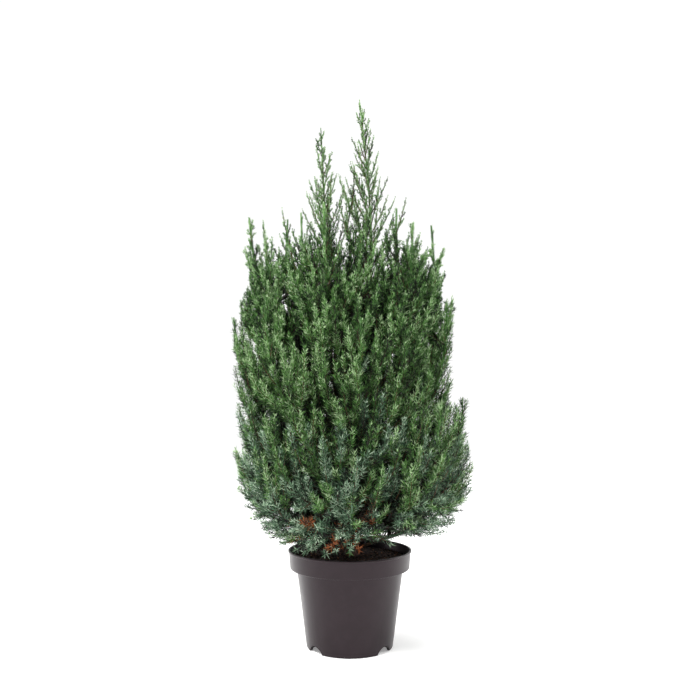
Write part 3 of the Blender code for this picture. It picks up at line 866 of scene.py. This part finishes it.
def grow(twigs, stems, rng):
    # the twigs of one ring with their side shoots, and in the upper crown shorter cords on those
    own = gathered(twigs)
    tips = along(own, np.arange(len(twigs)), np.ones(len(twigs)))[0]
    clear = clearOfPot(own["root"], tips)
    own = picked(own, clear)
    heights = dressed(own, rng)
    withered = rng.random(len(heights)) < foliage["withered"] * shadedOut(tips[clear])
    own["tone"] = np.where(withered, deadTone, own["tone"])
    slim = smooth(heights, *foliage["slim"])
    own["slender"] = mixed(1.0, needle["slender"], slim)
    own["core"] = mixed(*needle["cord"], own["spread"]) * own["slender"]
    own["stem"] = np.zeros(len(heights), bool)
    lit = litAt(own["root"])
    own["bareTo"] = mixed(*foliage["woody"], np.maximum(slim, lit))
    green = gathered(stems, ("root", "first", "last", "length", "core"))
    stemHeights = dressed(green, rng)
    green["tone"] += green["tone"] % steps == 0
    green["bareTo"] = np.zeros(len(stems))
    green["stem"] = np.ones(len(stems), bool)
    green["slender"] = mixed(1.0, needle["slenderStem"], smooth(stemHeights, *clad["overBetween"]))
    sparser = mixed(shootRule["sparser"], 1.0, litAt(own["root"] + own["first"] * 0.03))
    shoots = offshoots(own, shootRule, mixed(*shootRule["spacing"], own["spread"]) * sparser,
                       mixed(*shootRule["longest"][::-1], slim), rng)
    # shaded shoots in the depth of the crown die back, and the lowest of them hang on, brown
    ends = shoots["root"] + shoots["first"] * shoots["length"][:, None]
    alive = rng.random(len(ends)) < np.maximum(smooth(depthOf(ends), *foliage["shaded"]),
                                               smooth(ends[:, 2], *foliage["shadedBelow"]))
    dying = (1 - smooth(depthOf(ends), *foliage["deadFrom"])) * shadedOut(ends)
    dead = (rng.random(len(ends)) < foliage["deadShare"] * dying) | (shoots["tone"] == deadTone)
    family = shoots["tone"] // steps * steps
    shade = np.clip(shoots["tone"] - family + rng.integers(-1, 2, len(ends)), 0, steps - 2)
    shoots["tone"] = np.where(dead, deadTone + rng.integers(0, 2, len(ends)), family + shade)
    shoots = picked(shoots, (alive | dead) & clearOfPot(shoots["root"], ends))
    forks = picked(shoots, (shoots["spread"] < cordRule["mostSpread"])
                   & (shoots["length"] > cordRule["leastShoot"])
                   & (litAt(shoots["root"]) > cordRule["leastLight"]))
    cords = offshoots(forks, cordRule, np.full(len(forks["length"]), cordRule["spacing"]),
                      np.full(len(forks["length"]), cordRule["longest"]), rng)
    return own, merged([own, shoots, cords, green])


needle = dict(
    length=(0.0045, 0.0090),    # hugging, spreading
    angle=(26, 54),             # from the shoot
    width=(0.00138, 0.00134),
    spacing=(0.0034, 0.0041),   # from whorl to whorl
    sparser=1.5,                # times that in the depth of the crown
    cord=(0.00095, 0.00045),    # half the thickness of the shoot that carries them
    bending=0.030,              # shoots longer than this are bent
    taper=(0.25, 0.92),         # times that by the tip of a shoot, and of a length of green stem
    slender=0.75,               # times the sizes of shoots and needles, high on the leaders
    slenderStem=0.55,           # and on the leaders' own green stems
    shorter=0.72,               # times their length by the tip of a shoot
    play=(0.75, 1.25),          # times their length, and the next times their lean
    leanPlay=(0.8, 1.2),
    leanAlong=(1.1, 0.62),      # times their lean from the foot of a shoot to its tip
    turnPlay=0.35,
    tonePlay=0.75,              # how far single needles stray from their shoot's tone, in tones
    fresherEnd=0.9,             # how much fresher the outer part of a shoot is
    darkerWithin=2.3,           # how many tones darker needles are painted in the depth of the crown: painted shade
    fold=0.30,                  # of its width, how deep the channel is
    belly=0.30,                 # of its length, where it is widest
)


def blades(feet, ways, across, lengths, widths):
    # folded blades of two triangles: foot, one edge, tip, other edge
    inner = np.cross(across, ways)
    lengths, widths = lengths[:, None], widths[:, None]
    belly = feet + ways * lengths * needle["belly"] + inner * widths * needle["fold"]
    points = np.stack([feet, belly - across * widths / 2, feet + ways * lengths,
                       belly + across * widths / 2], 1)
    corners = np.arange(len(feet))[:, None] * 4 + [0, 1, 2, 0, 2, 3]
    return points.reshape(-1, 3), corners.reshape(-1, 3)


def needlesOf(shoots, rng):
    # whorls of three up every shoot
    spread = shoots["spread"]
    covered = shoots["length"] * (1 - shoots["bareTo"])
    stem = shoots["stem"]
    spacing = mixed(*needle["spacing"], spread) * np.where(
        stem, 0.5, mixed(needle["sparser"], 1.0, litAt(shoots["root"])))
    whorls = np.maximum(2, np.round(covered / spacing)).astype(int)
    owner, number = numbered(whorls * 3)
    whorl, inWhorl = number // 3, number % 3
    share = mixed(shoots["bareTo"][owner], 1.0, (whorl + 0.6) / whorls[owner])
    middle, way = along(shoots, owner, share)
    play = needle["turnPlay"]
    roll = (inWhorl * 2 / 3 + whorl / 3) * math.pi + rng.uniform(-play, play, len(owner))
    s = spread[owner]
    lean = np.radians(mixed(*needle["angle"], s) * mixed(*needle["leanAlong"], share)
                      * rng.uniform(*needle["leanPlay"], len(owner)))
    blade, radial, across = leaning(way, roll, lean)
    thin = shoots["slender"][owner]
    length = thin * mixed(*needle["length"], s) * mixed(1.0, needle["shorter"], share**2) * (
        rng.uniform(*needle["play"], len(owner)))
    foot = middle + radial * (shoots["core"] * np.where(stem, 0.9, 0.6))[owner][:, None]
    points, faces = blades(foot, blade, across, length, thin * mixed(*needle["width"], s))
    tone = shoots["tone"][owner]
    # each needle strays from its shoot's tone and is fresher by the shoot's tip, where the palest tone
    # also stands for glints (painted highlight); in the crown's depth it is painted darker as shade
    varied = np.rint(tone % steps + rng.normal(0, needle["tonePlay"], len(owner))
                     + needle["fresherEnd"] * (share > 0.6)
                     - needle["darkerWithin"] * (1 - litAt(middle))).astype(int)
    varied = tone // steps * steps + np.clip(varied, 0, steps - 1)
    return points, faces, np.repeat(np.where(tone < deadTone, varied, tone), 2)


def shootCords(shoots):
    # the needle-clad cord of each shoot: long ones bend, short ones are straight cones
    thick, stem = shoots["core"], shoots["stem"]
    long = shoots["length"] > needle["bending"]
    made = []
    for group, shares, sides in ((long & ~stem, (0.35, 0.6, 0.8, 1.0), 3),
                                 (~long & ~stem, (0.0, 1.0), 3), (stem, (0.0, 0.5, 1.0), 7)):
        shares = np.array(shares)
        owner, number = numbered(np.full(len(thick), len(shares)) * group)
        paths = along(shoots, owner, shares[number])[0].reshape(-1, len(shares), 3)
        widths = mixed(1.0, np.where(stem[group], *needle["taper"][::-1])[:, None], shares**2)
        points, faces, tube = tubes(paths, thick[group][:, None] * widths, sides)
        made.append((points, faces, shoots["tone"][group][tube]))
    points, faces = joined([(points, faces) for points, faces, _ in made])
    return points, faces, np.concatenate([tone for _, _, tone in made])


wood = dict(                # the brown part of a twig
    steps=6,
    end=0.9,                # share of the twig that it reaches
    radii=(0.0010, 0.0004), # at its foot and its end, on twigs of the full length and longer
    fullLength=0.05,
    innerRadii=(0.0009, 0.0003),
)


def twigWood(twigs):
    count = wood["steps"]
    owner, number = numbered(np.full(len(twigs["length"]), count))
    shares = np.linspace(0, wood["end"], count)
    paths = along(twigs, owner, shares[number])[0].reshape(-1, count, 3)
    thick = np.minimum(1, twigs["length"] / wood["fullLength"]) ** 0.5
    points, faces, tube = tubes(paths, thick[:, None] * mixed(*wood["radii"], shares), 3)
    return points, faces, tube % 2


def nodesOf(limbsHere, ending):
    return [limb["name"] + ending for limb in limbsHere if limb["name"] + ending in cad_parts]


twigs = [twig for limb in limbs for twig in twigsOf(limb)]
print(f"  {len(twigs)} twigs by the rule")
twigs += twigsBetween(twigs)
print(f"  {len(twigs)} twigs with those in the gaps")
total = 0
for group, here in groups.items():
    own, shoots = grow([twig for twig in twigs if twig["ring"] == group],
                       [piece for limb in here for piece in cladding(limb)], seeded(group))
    kinds = (("needles", *needlesOf(shoots, seeded(group + " needles")), tones),
             ("shoots", *shootCords(shoots), tones),
             ("twigs", *twigWood(own), twigTones))
    for kind, points, faces, faceTones, materials in kinds:
        name = f"{group}_{kind}"
        piece = placed(name, meshOf(points, faces, faceTones), materials)
        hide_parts(*nodesOf(here, "_foliage"))
        total += len(faces)
        print(f"  {name}: {len(faces)} triangles")
print(f"  {total} triangles")


def innerTwigs(rng):
    # twigs that fill the shade between the plumes, with the keys that along() reads; their near-black
    # needles are painted shade
    feet, ways = [], []
    for limb in limbs:
        for t in rng.uniform(*inside["onLimb"], inside["perLimb"]):
            feet.append(onCurve(limb["ends"], t))
            ways.append(headingAt(limb["ends"], t))
    for t in rng.uniform(*inside["upTrunk"], inside["onTrunk"]):
        feet.append(onCurve(trunkEnds, t))
        ways.append(headingAt(trunkEnds, t))
    feet, ways = np.array(feet), np.array(ways)
    count = len(feet)
    roll = rng.uniform(0, 2 * math.pi, count)
    lean = np.radians(rng.uniform(*inside["lean"], count))
    heading = unit(leaning(ways, roll, lean)[0] + up * inside["lift"])
    length = rng.uniform(*inside["length"], count)
    tips = feet + heading * length[:, None]
    fits = clearOfPot(feet, tips) & (depthOf(tips) < inside["depth"]) & (tips[:, 2] < inside["top"])
    return picked(dict(root=feet, first=heading, last=heading, length=length), fits)


def innerGrowth():
    rng = seeded("inside")
    bare = innerTwigs(rng)
    owner, number = numbered(np.full(len(bare["length"]), 2))
    paths = along(bare, owner, number * 1.0)[0].reshape(-1, 2, 3)
    brown = tubes(paths, np.ones((len(paths), 1)) * np.array(wood["innerRadii"]), 3)
    needled = 1 - inside["bareTo"]
    whorls = np.round(bare["length"] * needled / inside["spacing"]).astype(int)
    owner, number = numbered(whorls * 3)
    share = mixed(inside["bareTo"], 1.0, (number // 3 + 0.5) / whorls[owner])
    middle, way = along(bare, owner, share)
    roll = rng.uniform(0, 2 * math.pi, len(owner))
    lean = np.radians(rng.uniform(*inside["needleLean"], len(owner)))
    blade, _, across = leaning(way, roll, lean)
    points, faces = blades(middle, blade, across,
                           inside["needleLength"] * rng.uniform(*inside["play"], len(owner)),
                           inside["needleWidth"] * np.ones(len(owner)))
    # the needles are dead and near black, or the darkest green: painted shade in the crown's depth
    tone = np.where(rng.random(len(owner)) < inside["old"], deadTone + 1, 0)
    return brown, (points, faces, np.repeat(tone, 2))


(points, faces, owner), oldNeedles = innerGrowth()
placed("inner_twigs", meshOf(points, faces, owner % 2), twigTones)
placed("inner_needles", meshOf(*oldNeedles), tones)
print(f"  inside: {len(faces)} + {len(oldNeedles[1])} triangles")


print("trunk and boughs")

barkLook = dict(
    trunkSides=40,
    trunkSteps=220,
    boughSides=12,
    boughSteps=44,
    trunkRelief=0.078,      # of the radius
    boughRelief=0.065,
    strands=((3, 0.5), (5, 0.6), (7, 0.5), (11, 0.35)),     # how many go round, and their depth
    drift=18,               # radians round the stem for each metre along it, at most
    fading=(60, 150),       # how fast they come and go along the stem
    beyond=0.02,            # share of a limb by which the bark runs on under the needles
)


def furrowed(points, radii, sides, name, relief):
    # one tube with stringy bark in relief: ridges that run along it, drift round it and break off
    rng = seeded(name)
    run = runOf(points)
    ridges = np.zeros((len(points), sides))
    for strands, share in barkLook["strands"]:
        drift = rng.uniform(-barkLook["drift"], barkLook["drift"])
        fade = 0.6 + 0.4 * np.sin(run * rng.uniform(*barkLook["fading"]) + rng.uniform(0, 6))
        ridges += share * fade[:, None] * np.sin(
            strands * anglesOf(sides) + drift * run[:, None] + rng.uniform(0, 6))
    flat, faces, _ = tubes(points[None], radii[None], sides)
    flat = flat.reshape(len(points), sides, 3)
    grown = points[:, None] + (flat - points[:, None]) * (1 + relief * ridges)[..., None]
    return grown.reshape(-1, 3), faces


def barkOf(name, strandMm, dark, middle, pale):
    # juniper bark: thin red-brown strips that weather grey and peel along the stem, matt
    return grained(newMaterial(name, middle, Roughness=0.85), grainMm=strandMm, drawnOut=10.0,
                   detail=4.0, roughness=0.6, strength=0.6, reliefMm=strandMm / 2,
                   stops=((0.30, dark), (0.50, middle), (0.72, pale)))


trunkBark = barkOf("peelingBark", 1.6, "#24150f", "#4d3022", "#7d5c46")
boughBark = barkOf("youngBark", 0.9, "#261912", "#4a3325", "#6f5544")

shares = np.linspace(0, 1, barkLook["trunkSteps"]) ** 1.15
points, faces = furrowed(curved(trunkEnds, shares), np.array([trunkRadius(t) for t in shares]),
                         barkLook["trunkSides"], "trunk", barkLook["trunkRelief"])
trunk = placed("trunk_bark", meshOf(points, faces, smoothed=True), [trunkBark])
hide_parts("trunk")

for group, here in groups.items():
    parts = []
    for limb in here:
        end = cladFrom(limb) + barkLook["beyond"]
        line, radii = sampled(limb, 0.0, end, barkLook["boughSteps"])
        parts.append(furrowed(line, radii, barkLook["boughSides"], limb["name"],
                              barkLook["boughRelief"]))
    boughs = placed(group + "_boughs", meshOf(*joined(parts), smoothed=True), [boughBark])
    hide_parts(*(nodesOf(here, "_bough") or nodesOf(here, "_foliage")))


print("pot")

potLook = dict(
    rimRadius=0.0950,
    height=0.1446,
    lipHeight=0.0023,
    lipStep=0.0012,
    collarHeight=0.0273,
    collarFootRadius=0.0918,
    bodyTopRadius=0.0817,
    footRadius=0.0659,
    baseHeight=0.0045,      # it stands on a ring under its wall
    ringWidth=0.0040,
    wall=0.0016,
    sides=160,
    notches=(-141, -39, 39, 141),
    notchRadius=0.0158,
    notchDrop=0.0052,
    baseHoles=8,
    holeRadius=0.0045,
    holesOut=0.55,          # of the foot's radius
    crease=32,              # degrees, from which an edge is sharp
    scuffMm=16.7,
    grainMm=1.11,           # finer in truth: this is as coarse as it needs to be to show
)


def rounded(corners):
    # a profile whose corners (radius, height, fillet) are turned into short arcs
    outline = []
    count = len(corners)
    for i, (radius, height, fillet) in enumerate(corners):
        here = np.array([radius, height])
        if not fillet:
            outline.append(tuple(here))
            continue
        before = unit(np.array(corners[i - 1][:2]) - here)
        after = unit(np.array(corners[(i + 1) % count][:2]) - here)
        half = math.acos(np.clip(before @ after, -1, 1)) / 2
        setBack = min(fillet / math.tan(half), fillet * 4)
        start, end = here + before * setBack, here + after * setBack
        for k in range(5):
            t = k / 4
            outline.append(tuple(start * (1 - t) ** 2 + here * 2 * t * (1 - t) + end * t * t))
    return outline


def lathed(outline, sides):
    shaped = bmesh.new()
    verts = [shaped.verts.new((radius, 0, height)) for radius, height in outline]
    edges = [shaped.edges.new(pair) for pair in zip(verts, verts[1:] + verts[:1])]
    bmesh.ops.spin(shaped, geom=verts + edges, cent=(0, 0, 0), axis=(0, 0, 1),
                   angle=2 * math.pi, steps=sides, use_merge=True, dvec=(0, 0, 0))
    bmesh.ops.remove_doubles(shaped, verts=shaped.verts, dist=2e-6)
    bmesh.ops.dissolve_degenerate(shaped, edges=shaped.edges, dist=1e-7)
    bmesh.ops.recalc_face_normals(shaped, faces=shaped.faces)
    if shaped.calc_volume(signed=True) < 0:
        bmesh.ops.reverse_faces(shaped, faces=shaped.faces)
    mesh = bpy.data.meshes.new("lathed")
    shaped.to_mesh(mesh)
    shaped.free()
    return mesh


def potOutline():
    p = potLook
    collarFoot = p["height"] - p["collarHeight"]
    underLip = p["height"] - p["lipHeight"]
    wall = p["wall"]
    return rounded((
        (p["rimRadius"], p["height"], 0.0007),
        (p["rimRadius"], underLip, 0.0005),
        (p["rimRadius"] - p["lipStep"], underLip - 0.0005, 0.0003),
        (p["collarFootRadius"], collarFoot, 0.0018),
        (p["bodyTopRadius"], collarFoot - 0.0004, 0.0012),
        (p["footRadius"], 0.0, 0.0012),
        (p["footRadius"] - p["ringWidth"], 0.0, 0.0004),
        (p["footRadius"] - p["ringWidth"] - 0.0010, p["baseHeight"], 0.0004),
        (0.0, p["baseHeight"], 0.0),
        (0.0, p["baseHeight"] + wall, 0.0),
        (p["footRadius"] - wall, p["baseHeight"] + wall, 0.0010),
        (p["bodyTopRadius"] - wall, collarFoot + 0.0006, 0.0008),
        (p["collarFootRadius"] - wall - 0.0010, collarFoot + wall + 0.0004, 0.0006),
        (p["rimRadius"] - p["lipStep"] - wall, underLip - 0.0006, 0.0004),
        (p["rimRadius"] - p["lipStep"] - wall, p["height"], 0.0005),
    ))


def cutWith(target, cutters):
    # takes the cutters out of the target for good
    for cutter in cutters:
        change = target.modifiers.new("cut", "BOOLEAN")
        change.operation = "DIFFERENCE"
        change.object = cutter
    graph = bpy.context.evaluated_depsgraph_get()
    mesh = bpy.data.meshes.new_from_object(target.evaluated_get(graph))
    target.modifiers.clear()
    target.data = mesh
    for cutter in cutters:
        bpy.data.objects.remove(cutter)


def cylinder(vertices, radius, depth, place, rotation=(0, 0, 0)):
    bpy.ops.mesh.primitive_cylinder_add(vertices=vertices, radius=radius, depth=depth,
                                        location=place, rotation=rotation)
    return bpy.context.object


def drainage():
    # notches through the foot of the wall, and round holes in the base
    foot = potLook["footRadius"]
    cutters = [cylinder(48, potLook["notchRadius"], 0.022,
                        outward(azimuth) * foot - up * potLook["notchDrop"],
                        (math.pi / 2, 0, math.radians(azimuth + 90)))
               for azimuth in potLook["notches"]]
    holes = potLook["baseHoles"]
    return cutters + [cylinder(28, potLook["holeRadius"], 0.010,
                               outward(i * 360 / holes) * foot * potLook["holesOut"] + up * 0.0050)
                      for i in range(holes)]


def smoothedBy(mesh, angle):
    mesh.polygons.foreach_set("use_smooth", np.ones(len(mesh.polygons), bool))
    shaped = bmesh.new()
    shaped.from_mesh(mesh)
    for edge in shaped.edges:
        edge.smooth = len(edge.link_faces) == 2 and edge.calc_face_angle(0) < math.radians(angle)
    shaped.to_mesh(mesh)
    shaped.free()


# injection-moulded black polypropylene: a satin skin with a faint grain, scuffed and a little dusty
plastic = newMaterial("mouldedPolypropylene", "#171214", Roughness=0.32, IOR=1.49,
                      Specular_IOR_Level=0.30, Specular_Tint=(1.0, 0.82, 0.90, 1.0))
tree = plastic.node_tree
shader = tree.nodes["Principled BSDF"]
where = addNode(tree, "ShaderNodeTexCoord")
scuffs = addNode(tree, "ShaderNodeTexNoise",
                 values={"Scale": 1000 / potLook["scuffMm"], "Detail": 5.0, "Roughness": 0.65},
                 links={"Vector": where.outputs["Object"]})
gloss = addNode(tree, "ShaderNodeMapRange",
                values={"From Min": 0.3, "From Max": 0.7, "To Min": 0.28, "To Max": 0.36},
                links={"Value": scuffs.outputs["Fac"]})
tree.links.new(gloss.outputs["Result"], shader.inputs["Roughness"])
dust = setRamp(addNode(tree, "ShaderNodeValToRGB", links={"Fac": scuffs.outputs["Fac"]}),
               ((0.35, "#161012"), (0.75, "#1e171a")))
tree.links.new(dust.outputs["Color"], shader.inputs["Base Color"])
grain = addNode(tree, "ShaderNodeTexNoise",
                values={"Scale": 1000 / potLook["grainMm"], "Detail": 2.0},
                links={"Vector": where.outputs["Object"]})
bump = addNode(tree, "ShaderNodeBump", values={"Strength": 0.10, "Distance": 0.0002},
               links={"Height": grain.outputs["Fac"]})
tree.links.new(bump.outputs["Normal"], shader.inputs["Normal"])

pot = placed("nursery_pot", lathed(potOutline(), potLook["sides"]), [plastic])
cutWith(pot, drainage())
smoothedBy(pot.data, potLook["crease"])
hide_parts("pot")


print("potting mix")

mixLook = dict(
    rings=46,
    sectors=120,
    clump=0.0013,           # height of its unevenness
    clumpSizes=((0.006, 1.0, "clumps"), (0.017, 0.6, "swell")),     # with their shares
    waves=14,
    crumbs=1500,
    crumbSize=(0.0012, 0.0042),
    crumbsBetween=(0.012, 0.0875),  # from the stem to the wall
    kinds=(0.5, 0.35, 0.15),    # shares of dark, brown and pale ones
    tilt=0.35,
    proud=0.10,             # of its size, how far a crumb's middle is above the mix
    fall=0.0028,            # how much lower the mix is by the wall than by the stem
)


def bumps(x, y, size, rng):
    # soft unevenness of about this size
    height = np.zeros_like(x)
    waves = mixLook["waves"]
    for _ in range(waves):
        angle = rng.uniform(0, 2 * math.pi)
        pace = 2 * math.pi / (size * rng.uniform(0.7, 2.2))
        height += np.sin((x * math.cos(angle) + y * math.sin(angle)) * pace + rng.uniform(0, 6))
    return height / math.sqrt(waves)


def mixHeight(x, y):
    radius = np.hypot(x, y)
    fall = mixLook["fall"] * smooth(radius, 0.016, 0.092)
    lift = sum(share * bumps(x, y, size, seeded(name)) for size, share, name in mixLook["clumpSizes"])
    return trunkPlan["soilTop"] - fall + mixLook["clump"] * 0.55 * lift


# damp peat with composted bark: matt, dark, with paler fibres and chips
peat = grained(newMaterial("peatAndBark", "#33211a", Roughness=0.95), grainMm=2.38, drawnOut=1.0,
               detail=6.0, roughness=0.7, strength=0.8, reliefMm=1.0,
               stops=((0.34, "#140c08"), (0.54, "#33211a"), (0.74, "#5f4636")))


def pottingMix():
    # the uneven top, and plain sides and underside inside the pot
    p = potLook
    gap = 0.0003
    wall = p["wall"] + gap
    base = p["baseHeight"] + wall
    collarFoot = p["height"] - p["collarHeight"]
    edge = trunkPlan["soilTop"] - mixLook["fall"]
    side = p["collarFootRadius"] - wall - 0.0010
    levels = np.linspace(0, 1, mixLook["rings"])[1:] * (side + 0.0008)
    angles = anglesOf(mixLook["sectors"])
    x = np.outer(levels, np.cos(angles))
    y = np.outer(levels, np.sin(angles))
    calm = 1 - smooth(np.hypot(x, y), side - 0.004, side + 0.0008) * 0.8
    z = mixed(edge, mixHeight(x, y), calm)
    top = np.stack([x, y, z], -1)
    lower = ((side, collarFoot + wall + 0.0006), (p["bodyTopRadius"] - wall, collarFoot - 0.0004),
             (p["footRadius"] - wall - 0.0004, base + 0.0040), (p["footRadius"] - 0.0130, base))
    around = np.stack([np.cos(angles), np.sin(angles)], -1)
    skirt = [np.concatenate([around * radius, np.full((len(angles), 1), height)], 1)
             for radius, height in lower]
    rows = np.concatenate([top, np.array(skirt)])
    count = len(angles)
    points = np.concatenate([rows.reshape(-1, 3),
                             [[0, 0, mixHeight(np.zeros(1), np.zeros(1))[0]],
                              [0, 0, base]]])
    index = np.arange(len(rows) * count).reshape(len(rows), count)
    middle, under = len(points) - 2, len(points) - 1
    first, last = index[0], index[-1]
    cap = np.stack([np.full(count, middle), first, np.roll(first, -1)], 1)
    foot = np.stack([np.full(count, under), np.roll(last, -1), last], 1)
    return points, np.concatenate([wallsOf(index)[:, ::-1], cap, foot])


soil = placed("potting_mix", meshOf(*pottingMix(), smoothed=True), [peat])
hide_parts("soil")


def turned(points, one, other, angle):
    # points (thing, corner, xyz) turned from one axis to another by each thing's angle
    c, s = np.cos(angle)[:, None], np.sin(angle)[:, None]
    made = points.copy()
    made[..., one] = points[..., one] * c - points[..., other] * s
    made[..., other] = points[..., one] * s + points[..., other] * c
    return made


def crumbsOn(rng):
    # bark chips and crumbs: squashed, knocked-about icosahedra that lie in the mix
    shaped = bmesh.new()
    bmesh.ops.create_icosphere(shaped, subdivisions=1, radius=0.5)
    shape = np.array([v.co for v in shaped.verts])
    faces = np.array([[v.index for v in f.verts] for f in shaped.faces])
    shaped.free()
    count = mixLook["crumbs"]
    inner, outer = mixLook["crumbsBetween"]
    far = np.sqrt(rng.uniform(inner**2, outer**2, count))
    angle = rng.uniform(0, 2 * math.pi, count)
    x, y = far * np.cos(angle), far * np.sin(angle)
    size = mixed(*mixLook["crumbSize"], rng.random(count) ** 2.2)
    stretch = rng.uniform((0.8, 0.6, 0.35), (1.7, 1.1, 0.8), (count, 3)) * size[:, None]
    knocked = shape[None] * rng.uniform(0.72, 1.2, (count, len(shape), 1)) * stretch[:, None]
    turn, tilt = rng.uniform(0, 2 * math.pi, count), rng.normal(0, mixLook["tilt"], count)
    points = turned(turned(knocked, 0, 2, tilt), 0, 1, turn)
    points += np.stack([x, y, mixHeight(x, y) + size * mixLook["proud"]], -1)[:, None]
    every = faces[None] + (np.arange(count) * len(shape))[:, None, None]
    kind = np.repeat(rng.choice(3, count, p=mixLook["kinds"]), len(faces))
    return points.reshape(-1, 3), every.reshape(-1, 3), kind


# chips of composted bark and crumbs of peat: matt, from near black to a pale, dry brown
crumbTones = [newMaterial(name, colour, Roughness=0.9) for name, colour in
              (("peatCrumb", "#24160f"), ("barkCrumb", "#4b2f20"), ("paleChip", "#7d5c44"))]
crumbs = placed("bark_crumbs", meshOf(*crumbsOn(seeded("crumbs"))), crumbTones)
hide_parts("soil")
